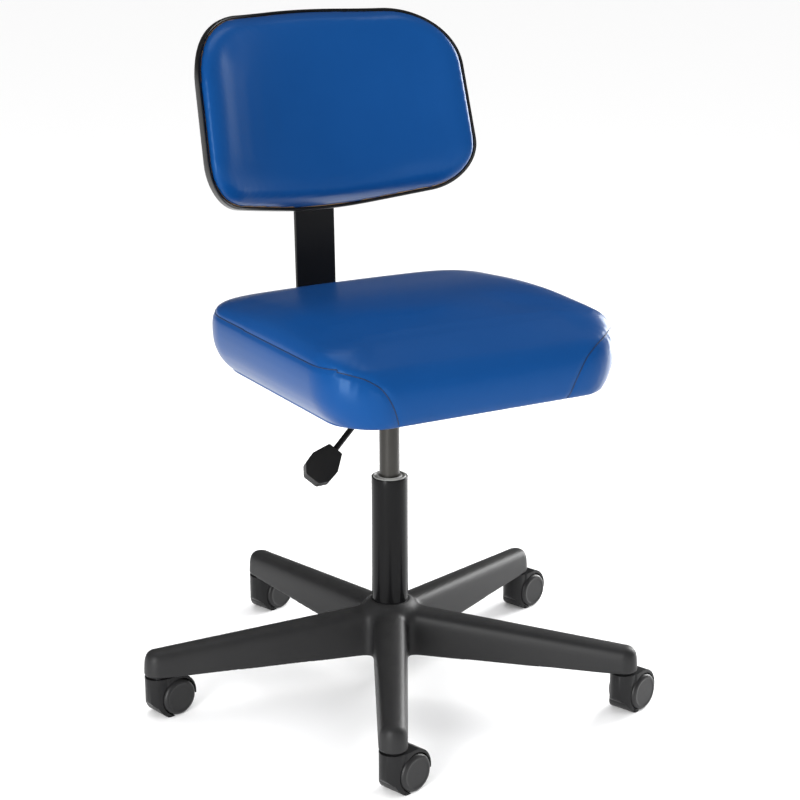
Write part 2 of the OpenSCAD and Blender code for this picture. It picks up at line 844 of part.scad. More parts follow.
// Prism with the backrest's outline
module back_prism(in)
    rotate([90, 0, 0]) translate([0, 0, -60]) linear_extrude(60 + back_r * 0.7) polygon(back_outline(in));

// Upright round layer between two distances behind the cushion's rim
module back_layer(from, to)
    translate([0, -back_r, -back_h])
        difference() {
            cylinder(r = back_r + to, h = 2 * back_h);
            translate([0, 0, -1]) cylinder(r = back_r + from, h = 2 * back_h + 2);
        }

module back_board()
    color([0.72, 0.58, 0.4])
        at_back()
            difference() {
                intersection() {
                    back_layer(0, back_board_t);
                    back_prism(0.5);
                }
                for (p = back_spots) {
                    translate([p[0], -20, p[1]]) to_rear() cylinder(r = 4, h = 60);
                    translate([p[0], -20, p[1]]) to_rear() cylinder(r = 9, h = 21);
                }
            }

module back_tee_nuts()
    color([0.75, 0.75, 0.72])
        at_back()
            for (p = back_spots)
                translate([p[0], 1, p[1]]) rotate([90, 0, 0]) tee_nut(4, back_barrel_l, 3, 8.5, 1.2);

module back_screws()
    color([0.5, 0.5, 0.5])
        at_back()
            for (p = back_spots)
                translate([p[0], boss_n + plate_t, p[1]])
                    to_rear() {
                        difference() {
                            cylinder(r = 6, h = 3.5);
                            translate([0, 0, 1.5]) cylinder(r = 2, h = 3, $fn = 6);
                        }
                        translate([0, 0, 1 - boss_n - plate_t]) cylinder(r = 3, h = boss_n + plate_t);
                    }

module back_shell()
    color([0.08, 0.08, 0.085])
        at_back()
            difference() {
                union() {
                    intersection() {
                        back_layer(back_board_t, back_board_t + shell_skin);
                        back_prism(0.5);
                    }
                    difference() {
                        translate([-screw_u - 20, -10, -screw_v - 20])
                            cube([2 * screw_u + 40, boss_n + 10, 2 * screw_v + 40]);
                        back_layer(-60, back_board_t);
                    }
                }
                for (p = back_spots)
                    translate([p[0], 0, p[1]]) to_rear() cylinder(r = 3 + part_gap, h = 60);
            }

module back_trim()
    color([0.06, 0.06, 0.06])
        at_back()
            difference() {
                intersection() {
                    back_layer(-1.5, back_board_t + shell_skin + 1);
                    back_prism(-trim_out);
                }
                back_prism(0);
            }

module back_cushion()
    color([0.1, 0.3, 0.62])
        at_back()
            intersection() {
                translate([0, -pad_t - pad_front_r, 0])
                    rotate_extrude()
                        polygon(rounded(
                            [
                                [pad_front_r, -pad_half],
                                [pad_front_r + back_r, -pad_half],
                                [pad_front_r + back_r, pad_half],
                                [pad_front_r, pad_half]
                            ],
                            [24, 1, 1, 24]
                        ));
                translate([0, -back_r, -back_h]) cylinder(r = back_r - 0.2, h = 2 * back_h);
                back_prism(0.3);
            }

// ---- The nodes ------------------------------------------------------------

five_star_base();
column_tube();
column_guide();
thrust_bearing();
spring_rod();
rod_clip();
gas_cylinder();
release_pin();
taper_socket();
mechanism_tray();
lever_pin();
lever_rod();
lever_knob();
bar_guide();
clamp_nut();
depth_knob();
seat_board();
seat_cushion();
under_cover();
seat_bolts();
seat_tee_nuts();
arm_tee_nuts();
back_bar();
bar_end_cap();
back_bracket();
bracket_liner();
knob_nut();
height_knob();
back_board();
back_shell();
back_trim();
back_cushion();
back_screws();
back_tee_nuts();
for (i = [0:ARMS - 1]) {
    caster_stem(i);
    caster_hood(i);
    caster_axle(i);
    caster_wheel(i, -1);
    caster_wheel(i, 1);
}
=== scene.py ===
# %% [markdown]
# # A swivel office chair
#
# This lesson dresses a finished mechanical model. The model already holds every solid, size and
# joint. Here each piece that is seen gets the shape and the surface of the real one: vinyl over
# foam, moulded plastic, enamelled tube, plywood and felt. First the fixed model is loaded, and
# its outer box is kept so that it can be printed beside the dressed chair's box at the end.

import json
import math

import bmesh
import bpy
import numpy as np
from mathutils import Matrix, Vector
from mathutils.bvhtree import BVHTree
from mathutils.kdtree import KDTree


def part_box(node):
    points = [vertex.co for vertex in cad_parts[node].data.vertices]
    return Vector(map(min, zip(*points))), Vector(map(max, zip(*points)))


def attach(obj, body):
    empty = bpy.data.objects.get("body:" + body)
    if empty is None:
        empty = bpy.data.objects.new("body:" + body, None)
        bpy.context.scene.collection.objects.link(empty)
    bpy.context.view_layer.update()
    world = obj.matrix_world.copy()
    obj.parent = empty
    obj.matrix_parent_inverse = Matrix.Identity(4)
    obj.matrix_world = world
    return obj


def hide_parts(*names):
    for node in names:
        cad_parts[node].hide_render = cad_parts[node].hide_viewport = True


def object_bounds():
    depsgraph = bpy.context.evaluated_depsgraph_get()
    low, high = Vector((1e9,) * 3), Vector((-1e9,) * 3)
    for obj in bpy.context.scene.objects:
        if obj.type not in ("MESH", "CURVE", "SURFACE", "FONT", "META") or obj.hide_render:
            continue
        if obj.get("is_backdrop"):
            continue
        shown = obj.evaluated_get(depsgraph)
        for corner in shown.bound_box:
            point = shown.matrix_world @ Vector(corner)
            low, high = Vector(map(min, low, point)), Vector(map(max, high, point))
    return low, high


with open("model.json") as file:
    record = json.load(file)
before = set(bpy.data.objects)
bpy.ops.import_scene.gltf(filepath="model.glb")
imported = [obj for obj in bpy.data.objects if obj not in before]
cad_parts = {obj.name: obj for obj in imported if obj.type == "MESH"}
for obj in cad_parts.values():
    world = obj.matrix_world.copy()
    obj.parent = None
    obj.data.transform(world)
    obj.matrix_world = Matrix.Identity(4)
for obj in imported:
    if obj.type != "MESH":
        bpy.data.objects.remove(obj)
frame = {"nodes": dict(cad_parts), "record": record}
scene = bpy.context.scene
cad_box = [[float(v) for v in corner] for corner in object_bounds()]
MM = 0.001
print("model box in metres:", cad_box)

# %% [markdown]
# ## Camera, light and floor
#
# The camera stands well back with a long lens, a little above the seat, so that upright lines
# stay nearly parallel. It could be aimed by hand; here its place is worked out from a turn, a
# rise and a distance, because these three numbers are easy to think about. The light is a
# bright room with large soft panels: vinyl shows its shape by what it reflects. The walls look
# white and light the floor fully, but they are dim in reflections, as the far dark end of a
# studio is; with white walls all round, black plastic would turn grey.

# %% Camera
turn, rise, roll = math.radians(-29.5), math.radians(16.448), math.radians(-0.147)
DISTANCE, AIM_ACROSS, AIM_HEIGHT = 2.60915, 0.0144, 0.4094
away = Vector((math.sin(turn) * math.cos(rise), -math.cos(turn) * math.cos(rise), math.sin(rise)))
level = Vector((math.cos(turn), math.sin(turn), 0))
upward = away.cross(level)
side = level * math.cos(roll) + upward * math.sin(roll)
upward = upward * math.cos(roll) - level * math.sin(roll)
camera = bpy.data.objects.new("camera", bpy.data.cameras.new("camera"))
scene.collection.objects.link(camera)
camera.data.sensor_width, camera.data.lens = 36, 87.4
camera.data.clip_end = 150
place = level * AIM_ACROSS + Vector((0, 0, AIM_HEIGHT)) + away * DISTANCE
camera.matrix_world = Matrix(
    (
        (side.x, upward.x, away.x, place.x),
        (side.y, upward.y, away.y, place.y),
        (side.z, upward.z, away.z, place.z),
        (0, 0, 0, 1),
    )
)
scene.camera = camera
scene.view_settings.view_transform = "Standard"
print("camera at", [round(v, 3) for v in place])


# %% Soft panels of light and a pale floor
def light_panel(name, spot, aim, width, height, power):
    """A rectangular soft box that faces the point aim."""
    lamp = bpy.data.lights.new(name, "AREA")
    lamp.shape = "RECTANGLE"
    lamp.size, lamp.size_y, lamp.energy = width, height, power
    holder = bpy.data.objects.new(name, lamp)
    holder.location = spot
    holder.rotation_euler = (Vector(aim) - Vector(spot)).to_track_quat("-Z", "Y").to_euler()
    scene.collection.objects.link(holder)
    return holder


light_panel("panel_left", (-2.3, -1.5, 0.95), (0, 0, 0.65), 0.9, 1.8, 75)
light_panel("panel_right", (2.15, 0.5, 0.9), (0, 0, 0.6), 1.1, 1.7, 85)
light_panel("panel_top", (0.1, 0.5, 3.0), (0, -0.05, 0.4), 1.6, 1.2, 14)
light_panel("panel_front", (-0.3, -3.4, 0.5), (0, 0, 0.5), 1.6, 0.6, 7)

ROOM_LIGHT, ROOM_IN_GLOSS = 1.12, 0.06
world = bpy.data.worlds.new("bright_room")
world.use_nodes = True
room_tree = world.node_tree
glow = room_tree.nodes["Background"]
glow.inputs["Color"].default_value = (1.0, 1.0, 1.0, 1)
kind_of_ray = room_tree.nodes.new("ShaderNodeLightPath")
room = room_tree.nodes.new("ShaderNodeMapRange")
room.inputs["To Min"].default_value = ROOM_LIGHT
room.inputs["To Max"].default_value = ROOM_IN_GLOSS
room_tree.links.new(kind_of_ray.outputs["Is Glossy Ray"], room.inputs["Value"])
room_tree.links.new(room.outputs["Result"], glow.inputs["Strength"])
scene.world = world

FLOOR_HALF = 45
floor_corners = [(x * FLOOR_HALF, y * FLOOR_HALF, 0) for x, y in ((-1, -1), (1, -1), (1, 1), (-1, 1))]
floor_mesh = bpy.data.meshes.new("studio_floor")
floor_mesh.from_pydata(floor_corners, [], [(0, 1, 2, 3)])
floor = bpy.data.objects.new("studio_floor", floor_mesh)
scene.collection.objects.link(floor)
floor_paint = bpy.data.materials.new("floor_paper")
floor_paint.use_nodes = True
paper = floor_paint.node_tree.nodes["Principled BSDF"].inputs
paper["Base Color"].default_value = (0.97, 0.97, 0.97, 1)
paper["Roughness"].default_value = 0.7
floor_mesh.materials.append(floor_paint)
floor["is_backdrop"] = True

# %% [markdown]
# ## Shared surface effects
#
# No real surface is one flat colour. Three effects come back in many finishes: a fine grain
# that dents the surface, a slow drift of the colour, and dust that settles where a surface
# looks up. Each is built once as a shader group with named inputs, so that a finish only
# states how much of it it wants. The groups give back colours, masks and heights; the shader
# itself stays in each material.


# %% A small kit for shader groups
def new_group(name, ins, outs):
    """An empty shader group with named sockets: (name, kind, value) in, (name, kind) out."""
    tree = bpy.data.node_groups.new(name, "ShaderNodeTree")
    for title, kind, value in ins:
        socket = tree.interface.new_socket(title, in_out="INPUT", socket_type=kind)
        if value is not None:
            socket.default_value = value
    for title, kind in outs:
        tree.interface.new_socket(title, in_out="OUTPUT", socket_type=kind)
    return tree, tree.nodes.new("NodeGroupInput"), tree.nodes.new("NodeGroupOutput")


def wire(tree, source, target):
    tree.links.new(source, target)


def maths(tree, operation, *values, clamp=False):
    """One sum of one, two or three sockets or numbers."""
    node = tree.nodes.new("ShaderNodeMath")
    node.operation, node.use_clamp = operation, clamp
    for socket, value in zip(node.inputs, values):
        if isinstance(value, (int, float)):
            socket.default_value = value
        else:
            wire(tree, value, socket)
    return node.outputs[0]


def mix_colour(tree, share, first, second):
    node = tree.nodes.new("ShaderNodeMix")
    node.data_type = "RGBA"
    sockets = (node.inputs["Factor"], node.inputs[6], node.inputs[7])
    for socket, value in zip(sockets, (share, first, second)):
        if isinstance(value, (int, float, tuple)):
            socket.default_value = value
        else:
            wire(tree, value, socket)
    return node.outputs[2]


FLOAT, COLOUR = "NodeSocketFloat", "NodeSocketColor"

# %% Pebbled grain: soft cells with valleys between them
grain, given, result = new_group(
    "pebbled_grain",
    [("Cells per metre", FLOAT, 900.0), ("Unevenness", FLOAT, 0.35)],
    [("Height", FLOAT), ("Valleys", FLOAT)],
)
coordinates = grain.nodes.new("ShaderNodeTexCoord")
cells = grain.nodes.new("ShaderNodeTexVoronoi")
cells.feature = "SMOOTH_F1"
wire(grain, coordinates.outputs["Object"], cells.inputs["Vector"])
wire(grain, given.outputs["Cells per metre"], cells.inputs["Scale"])
ripple = grain.nodes.new("ShaderNodeTexNoise")
ripple.inputs["Detail"].default_value = 3
wire(grain, coordinates.outputs["Object"], ripple.inputs["Vector"])
wire(grain, maths(grain, "MULTIPLY", given.outputs["Cells per metre"], 0.4), ripple.inputs["Scale"])
uneven = maths(grain, "MULTIPLY", ripple.outputs["Fac"], given.outputs["Unevenness"])
wire(grain, maths(grain, "SUBTRACT", uneven, cells.outputs["Distance"]), result.inputs["Height"])
wire(grain, maths(grain, "GREATER_THAN", cells.outputs["Distance"], 0.62), result.inputs["Valleys"])

# %% Slow drift of a colour, with a second tone and its share
drift, given, result = new_group(
    "colour_drift",
    [
        ("Colour", COLOUR, (0.5, 0.5, 0.5, 1)),
        ("Other tone", COLOUR, (0.4, 0.4, 0.4, 1)),
        ("Patches per metre", FLOAT, 9.0),
        ("Share", FLOAT, 0.5),
    ],
    [("Colour", COLOUR), ("Mask", FLOAT)],
)
coordinates = drift.nodes.new("ShaderNodeTexCoord")
patches = drift.nodes.new("ShaderNodeTexNoise")
patches.inputs["Detail"].default_value = 5
patches.inputs["Roughness"].default_value = 0.6
wire(drift, coordinates.outputs["Object"], patches.inputs["Vector"])
wire(drift, given.outputs["Patches per metre"], patches.inputs["Scale"])
spread = drift.nodes.new("ShaderNodeMapRange")
spread.inputs["From Min"].default_value, spread.inputs["From Max"].default_value = 0.3, 0.7
wire(drift, patches.outputs["Fac"], spread.inputs["Value"])
mask = maths(drift, "MULTIPLY", spread.outputs["Result"], given.outputs["Share"], clamp=True)
drifted = mix_colour(drift, mask, given.outputs["Colour"], given.outputs["Other tone"])
wire(drift, drifted, result.inputs["Colour"])
wire(drift, mask, result.inputs["Mask"])

# %% Settled dust: a thin pale veil on what looks up
dust, given, result = new_group(
    "settled_dust",
    [("Colour", COLOUR, (0.5, 0.5, 0.5, 1)), ("Amount", FLOAT, 0.1)],
    [("Colour", COLOUR), ("Mask", FLOAT)],
)
place_on = dust.nodes.new("ShaderNodeTexCoord")
facing = dust.nodes.new("ShaderNodeNewGeometry")
parts = dust.nodes.new("ShaderNodeSeparateXYZ")
wire(dust, facing.outputs["Normal"], parts.inputs["Vector"])
specks = dust.nodes.new("ShaderNodeTexNoise")
specks.inputs["Scale"].default_value, specks.inputs["Detail"].default_value = 60, 6
wire(dust, place_on.outputs["Object"], specks.inputs["Vector"])
upturned = maths(dust, "POWER", maths(dust, "MAXIMUM", parts.outputs["Z"], 0.0), 3.0)
settled = maths(dust, "MULTIPLY", upturned, specks.outputs["Fac"])
veil = maths(dust, "MULTIPLY", settled, given.outputs["Amount"], clamp=True)
DUST_COLOUR = (0.45, 0.44, 0.42, 1)
wire(dust, mix_colour(dust, veil, given.outputs["Colour"], DUST_COLOUR), result.inputs["Colour"])
wire(dust, veil, result.inputs["Mask"])
print("shader groups:", [g.name for g in (grain, drift, dust)])

# %% [markdown]
# ## Finishes
#
# Every finish follows one pattern: a drifting colour, a little dust, a roughness that varies
# with the same patches, and grain as a bump. One helper wires that pattern, so that each real
# finish below is a short list of the values that make it itself.


# %% The common pattern of a finish
def use_group(tree, group, **values):
    node = tree.nodes.new("ShaderNodeGroup")
    node.node_tree = group
    for title, value in values.items():
        socket = node.inputs[title.replace("_", " ")]
        if isinstance(value, bpy.types.NodeSocket):
            wire(tree, value, socket)
        else:
            socket.default_value = value
    return node


def finish_of(
    name, colour, tone, rough, rough_drift, cells, depth, dusty, patches, **fixed
):
    """A material whose colour, roughness and relief vary; fixed are plain values of the shader."""
    material = bpy.data.materials.new(name)
    material.use_nodes = True
    tree = material.node_tree
    shader = tree.nodes["Principled BSDF"]
    tinted = use_group(
        tree, drift, Colour=(*colour, 1), Other_tone=(*tone, 1), Patches_per_metre=patches
    )
    dusted = use_group(tree, dust, Colour=tinted.outputs["Colour"], Amount=dusty)
    wire(tree, dusted.outputs["Colour"], shader.inputs["Base Color"])
    roughness = maths(tree, "MULTIPLY_ADD", tinted.outputs["Mask"], rough_drift, rough)
    roughness = maths(tree, "ADD", roughness, dusted.outputs["Mask"], clamp=True)
    wire(tree, roughness, shader.inputs["Roughness"])
    pebbles = use_group(tree, grain, Cells_per_metre=cells)
    relief = tree.nodes.new("ShaderNodeBump")
    relief.inputs["Strength"].default_value = 1.0
    relief.inputs["Distance"].default_value = depth
    wire(tree, pebbles.outputs["Height"], relief.inputs["Height"])
    wire(tree, relief.outputs["Normal"], shader.inputs["Normal"])
    for title, value in fixed.items():
        shader.inputs[title.replace("_", " ")].default_value = value
    return material


blue_vinyl = finish_of(
    "blue_vinyl", (0.0028, 0.039, 0.152), (0.004, 0.047, 0.178),
    rough=0.29, rough_drift=0.05, cells=1100, depth=0.00005, dusty=0.0, patches=6.0,
    IOR=1.33, Specular_IOR_Level=0.38, Specular_Tint=(0.35, 0.65, 1.0, 1.0),
    Coat_Weight=0.02, Coat_Roughness=0.14,
)
# Painted shade: the seam thread is real thread, but it is made far darker than the vinyl so that it
# also paints the shade in the seam's valley.
thread_painted_seam_shade = finish_of(
    "seam_thread_painted_shade", (0.001, 0.008, 0.03), (0.0015, 0.011, 0.04),
    rough=0.6, rough_drift=0.08, cells=3000, depth=0.00006, dusty=0.0, patches=9.0,
)
base_plastic = finish_of(
    "base_plastic", (0.013, 0.013, 0.0135), (0.018, 0.018, 0.0185),
    rough=0.44, rough_drift=0.08, cells=1500, depth=0.00012, dusty=0.03, patches=14.0,
    Specular_IOR_Level=0.22,
)
hood_plastic = finish_of(
    "caster_hood_plastic", (0.008, 0.008, 0.0085), (0.012, 0.012, 0.0125),
    rough=0.34, rough_drift=0.08, cells=1800, depth=0.00007, dusty=0.01, patches=20.0,
    Specular_IOR_Level=0.16,
)
wheel_plastic = finish_of(
    "wheel_plastic", (0.011, 0.011, 0.0115), (0.016, 0.016, 0.0165),
    rough=0.36, rough_drift=0.1, cells=1600, depth=0.00006, dusty=0.02, patches=25.0,
    Specular_IOR_Level=0.28,
)
tube_enamel = finish_of(
    "tube_enamel", (0.004, 0.004, 0.0043), (0.006, 0.006, 0.0065),
    rough=0.17, rough_drift=0.05, cells=500, depth=0.00002, dusty=0.01, patches=12.0,
    Specular_IOR_Level=0.1, Coat_Weight=0.03, Coat_Roughness=0.06,
)
black_enamel = finish_of(
    "black_enamel", (0.003, 0.003, 0.0032), (0.005, 0.005, 0.0053),
    rough=0.36, rough_drift=0.08, cells=700, depth=0.00004, dusty=0.01, patches=12.0,
    Specular_IOR_Level=0.24,
)
gas_tube_metal = finish_of(
    "gas_tube_metal", (0.026, 0.0245, 0.022), (0.037, 0.035, 0.031),
    rough=0.3, rough_drift=0.05, cells=900, depth=0.00002, dusty=0.02, patches=12.0,
    Metallic=0.55,
)
bright_steel = finish_of(
    "bright_steel", (0.62, 0.62, 0.64), (0.52, 0.52, 0.54),
    rough=0.22, rough_drift=0.12, cells=1200, depth=0.00002, dusty=0.02, patches=30.0,
    Metallic=1.0,
)
zinc_steel = finish_of(
    "zinc_steel", (0.55, 0.54, 0.5), (0.42, 0.42, 0.4),
    rough=0.38, rough_drift=0.15, cells=700, depth=0.00003, dusty=0.03, patches=60.0,
    Metallic=1.0,
)
grip_plastic = finish_of(
    "grip_plastic", (0.006, 0.006, 0.0064), (0.01, 0.0095, 0.0095),
    rough=0.45, rough_drift=0.1, cells=1400, depth=0.00012, dusty=0.02, patches=25.0,
    Specular_IOR_Level=0.3,
)
trim_plastic = finish_of(
    "trim_plastic", (0.004, 0.004, 0.0043), (0.007, 0.007, 0.007),
    rough=0.3, rough_drift=0.08, cells=1300, depth=0.00003, dusty=0.01, patches=15.0,
    Specular_IOR_Level=0.25,
)
shell_plastic = finish_of(
    "shell_plastic", (0.012, 0.012, 0.0125), (0.017, 0.017, 0.018),
    rough=0.5, rough_drift=0.08, cells=900, depth=0.00018, dusty=0.06, patches=10.0,
)
guide_plastic = finish_of(
    "guide_plastic", (0.32, 0.32, 0.31), (0.26, 0.26, 0.25),
    rough=0.42, rough_drift=0.08, cells=1200, depth=0.00004, dusty=0.03, patches=25.0,
)
print("finishes:", len(bpy.data.materials))


# %% [markdown]
# Plywood and felt are different in kind. Plywood shows long streaks of grain on its faces and
# thin plies on its edge, so its pattern is stretched along one direction and banded along
# another. Felt is a mat of short fibres: a fine noise in the relief and a soft sheen.


# %% Plywood and felt
def plywood():
    material = bpy.data.materials.new("plywood")
    material.use_nodes = True
    tree = material.node_tree
    shader = tree.nodes["Principled BSDF"]
    coordinates = tree.nodes.new("ShaderNodeTexCoord")
    stretch = tree.nodes.new("ShaderNodeMapping")
    stretch.inputs["Scale"].default_value = (6, 90, 90)
    wire(tree, coordinates.outputs["Object"], stretch.inputs["Vector"])
    fibres = tree.nodes.new("ShaderNodeTexNoise")
    fibres.inputs["Scale"].default_value, fibres.inputs["Detail"].default_value = 4, 8
    wire(tree, stretch.outputs["Vector"], fibres.inputs["Vector"])
    plies = tree.nodes.new("ShaderNodeTexWave")
    plies.bands_direction = "Z"
    plies.inputs["Scale"].default_value, plies.inputs["Distortion"].default_value = 110, 0.6
    wire(tree, coordinates.outputs["Object"], plies.inputs["Vector"])
    pale, streak, glue_line = (0.62, 0.42, 0.22, 1), (0.36, 0.2, 0.09, 1), (0.3, 0.17, 0.08, 1)
    wood = mix_colour(tree, fibres.outputs["Fac"], pale, streak)
    banded = mix_colour(tree, maths(tree, "MULTIPLY", plies.outputs["Fac"], 0.35), wood, glue_line)
    wire(tree, banded, shader.inputs["Base Color"])
    roughness = maths(tree, "MULTIPLY_ADD", fibres.outputs["Fac"], 0.2, 0.5)
    wire(tree, roughness, shader.inputs["Roughness"])
    relief = tree.nodes.new("ShaderNodeBump")
    relief.inputs["Distance"].default_value = 0.0002
    wire(tree, fibres.outputs["Fac"], relief.inputs["Height"])
    wire(tree, relief.outputs["Normal"], shader.inputs["Normal"])
    return material


plywood_finish = plywood()
black_felt = finish_of(
    "black_felt", (0.012, 0.012, 0.013), (0.03, 0.03, 0.031),
    rough=0.85, rough_drift=0.1, cells=2600, depth=0.0003, dusty=0.05, patches=120.0,
    Sheen_Weight=0.4, Sheen_Roughness=0.5,
)


# %% [markdown]
# ## Helpers for meshes
#
# Most shapes here are lofts: rings of points joined by four-sided faces. One helper joins the
# rings and closes both ends, turns the faces outwards and smooths the shading up to an angle.


# %% Lofts and plain meshes
def settle_mesh(mesh, smooth_angle=40):
    """Merges doubles, turns faces outwards, and shades smooth except at sharper edges."""
    work = bmesh.new()
    work.from_mesh(mesh)
    bmesh.ops.remove_doubles(work, verts=work.verts, dist=1e-6)
    bmesh.ops.recalc_face_normals(work, faces=work.faces)
    work.to_mesh(mesh)
    work.free()
    mesh.shade_smooth()
    mesh.set_sharp_from_angle(angle=math.radians(smooth_angle))


def piece(name, points, faces, finish, smooth_angle=40):
    mesh = bpy.data.meshes.new(name)
    mesh.from_pydata([tuple(map(float, p)) for p in points], [], faces)
    settle_mesh(mesh, smooth_angle)
    mesh.materials.append(finish)
    made = bpy.data.objects.new(name, mesh)
    scene.collection.objects.link(made)
    return made


def loft(rings, close=False):
    """Points and faces of a tube through equal rings; open ends are closed with one face."""
    count = len(rings[0])
    points = [p for ring in rings for p in ring]
    faces = []
    last = len(rings) if close else len(rings) - 1
    for k in range(last):
        a, b = k * count, ((k + 1) % len(rings)) * count
        faces += [(a + i, a + (i + 1) % count, b + (i + 1) % count, b + i) for i in range(count)]
    if not close:
        faces.append(tuple(range(count - 1, -1, -1)))
        faces.append(tuple(range((len(rings) - 1) * count, len(rings) * count)))
    return points, faces


def turned(profile, count=64):
    """Rings of a lathe shape from (radius, height) pairs."""
    angles = np.linspace(0, 2 * math.pi, count, endpoint=False)
    return [[(r * math.cos(a), r * math.sin(a), z) for a in angles] for r, z in profile]


def freeze(made, name=None):
    """The evaluated shape as a plain mesh on a new object, without its modifiers."""
    graph = bpy.context.evaluated_depsgraph_get()
    mesh = bpy.data.meshes.new_from_object(made.evaluated_get(graph))
    name = name or made.name
    bpy.data.objects.remove(made)
    plain = bpy.data.objects.new(name, mesh)
    scene.collection.objects.link(plain)
    return plain


def show_box(title, corners):
    """Prints the low and high corner of a box, in metres."""
    print(title, *[[round(v, 4) for v in corner] for corner in corners])


def stands_for(made, body, slot, *nodes):
    """Makes a finished piece ride on a body in place of its model nodes."""
    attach(made, body)
    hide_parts(*nodes)
    size = len(made.data.polygons)
    print(f"{made.name}: {size} faces, rides on {body}, stands for {', '.join(nodes)}")
    return made


# %% [markdown]
# A second helper takes a model node whose shape is already right, such as a bent bar, and
# gives it the small round edges that every real part has. It works on a copy: loose triangles
# are merged, flat areas become single faces, and a Bevel modifier rounds what is left sharp.


# %% Softened copies of model nodes
def softened(node, name, finish, width=0.6, segments=2, angle=32):
    made = bpy.data.objects.new(name, frame["nodes"][node].data.copy())
    scene.collection.objects.link(made)
    work = bmesh.new()
    work.from_mesh(made.data)
    bmesh.ops.remove_doubles(work, verts=work.verts, dist=2e-5)
    bmesh.ops.dissolve_limit(work, angle_limit=math.radians(1.5), verts=work.verts, edges=work.edges)
    work.to_mesh(made.data)
    work.free()
    made.data.materials.clear()
    made.data.materials.append(finish)
    made.data.shade_smooth()
    made.data.set_sharp_from_angle(angle=math.radians(angle))
    rounder = made.modifiers.new("round_edges", "BEVEL")
    rounder.width, rounder.segments = width * MM, segments
    rounder.limit_method, rounder.angle_limit = "ANGLE", math.radians(angle)
    rounder.harden_normals = True
    return freeze(made)


# %% [markdown]
# ## The five-star base
#
# The base is one nylon moulding: five arms like upturned troughs with round shoulders, run
# together at a hub with generous fillets. Booleans would leave hard seams where the arms
# meet. A volume that follows a rule does not: Geometry Nodes fill a grid with the distance to
# the nearest wall, smooth minimums melt the arms and the hub together, and the grid becomes a
# mesh. The plane is folded five times round the column, so one arm's rule makes all five.


# %% A kit for geometry trees
def new_geometry_tree(name, ins):
    """A geometry tree with named inputs: (name, kind, value)."""
    tree = bpy.data.node_groups.new(name, "GeometryNodeTree")
    for title, kind, value in ins:
        socket = tree.interface.new_socket(title, in_out="INPUT", socket_type=kind)
        if value is not None:
            socket.default_value = value
    tree.interface.new_socket("Geometry", in_out="OUTPUT", socket_type="NodeSocketGeometry")
    return tree, tree.nodes.new("NodeGroupInput"), tree.nodes.new("NodeGroupOutput")


def finish_tree(tree, given, result, shape):
    """The last two nodes of every tree: real geometry, then its finish."""
    real = tree.nodes.new("GeometryNodeRealizeInstances")
    paint = tree.nodes.new("GeometryNodeSetMaterial")
    wire(tree, shape, real.inputs[0])
    wire(tree, real.outputs[0], paint.inputs["Geometry"])
    wire(tree, given.outputs["Finish"], paint.inputs["Material"])
    wire(tree, paint.outputs[0], result.inputs["Geometry"])


def grown(name, tree, start=None, **values):
    """Runs a tree on an empty or given mesh, and gives back the plain mesh that it makes."""
    holder = start or bpy.data.objects.new(name, bpy.data.meshes.new(name))
    if start is None:
        scene.collection.objects.link(holder)
    modifier = holder.modifiers.new(tree.name, "NODES")
    modifier.node_group = tree
    for item in tree.interface.items_tree:
        if item.in_out == "INPUT" and item.name in values:
            modifier[item.identifier] = values[item.name]
    return freeze(holder, name)


# %% The rule of the base, in millimetres
LENGTH, MATERIAL, GEOMETRY = "NodeSocketFloat", "NodeSocketMaterial", "NodeSocketGeometry"
base_tree, given, result = new_geometry_tree(
    "five_star_rule",
    [
        ("First arm", LENGTH, 0.0),
        ("Reach", LENGTH, 329.0),
        ("Half width at hub", LENGTH, 24.0),
        ("Half width at tip", LENGTH, 18.5),
        ("Top at hub", LENGTH, 117.5),
        ("Top at tip", LENGTH, 93.9),
        ("Underside at hub", LENGTH, 52.0),
        ("Underside at tip", LENGTH, 58.4),
        ("Hub radius", LENGTH, 38.0),
        ("Hub top", LENGTH, 124.5),
        ("Wall", LENGTH, 4.5),
        ("Finish", MATERIAL, None),
    ],
)
g = given.outputs


def rule(operation, *values):
    """One sum in the base's tree."""
    return maths(base_tree, operation, *values)


def root_of_squares(a, b):
    return rule("SQRT", rule("ADD", rule("MULTIPLY", a, a), rule("MULTIPLY", b, b)))


spot = base_tree.nodes.new("GeometryNodeInputPosition")
axes = base_tree.nodes.new("ShaderNodeSeparateXYZ")
wire(base_tree, spot.outputs[0], axes.inputs[0])
px, py, pz = (rule("MULTIPLY", axes.outputs[k], 1000.0) for k in range(3))
radius = root_of_squares(px, py)
angle = rule("SUBTRACT", rule("ARCTAN2", py, px), g["First arm"])
folded = rule("ABSOLUTE", rule("WRAP", angle, math.pi / 5, -math.pi / 5))
ARM_START, DRAFT, DRAFT_FROM = 10.0, 0.045, 60.0
MELT_ARMS, MELT_HUB, MELT_COLLAR = 26.0, 16.0, 12.0
ROUND_SHOULDER, ROUND_COLLAR, ROUND_LIP, ROUND_FOOT = 26.0, 8.0, 5.0, 4.0
CONE_START, CONE_SLOPE = 28.0, 0.72


def along_arm(start, end, x):
    """A size that changes evenly from the hub to the tip."""
    share = rule("DIVIDE", rule("SUBTRACT", x, ARM_START), rule("SUBTRACT", g["Reach"], ARM_START))
    share = rule("MINIMUM", rule("MAXIMUM", share, 0.0), 1.0)
    return rule("MULTIPLY_ADD", share, rule("SUBTRACT", end, start), start)


def arm_plan(direction, reach, thinner):
    """Distance, seen from above, to the side walls and the half-round end of an arm."""
    x = rule("MULTIPLY", radius, rule("COSINE", direction))
    y = rule("MULTIPLY", radius, rule("SINE", direction))
    past = rule("MAXIMUM", rule("SUBTRACT", x, reach), 0.0)
    out = root_of_squares(past, y)
    half = rule("SUBTRACT", along_arm(g["Half width at hub"], g["Half width at tip"], x), thinner)
    lean = rule("MULTIPLY", rule("SUBTRACT", pz, DRAFT_FROM), DRAFT)
    return rule("ADD", rule("SUBTRACT", out, half), lean), x, y


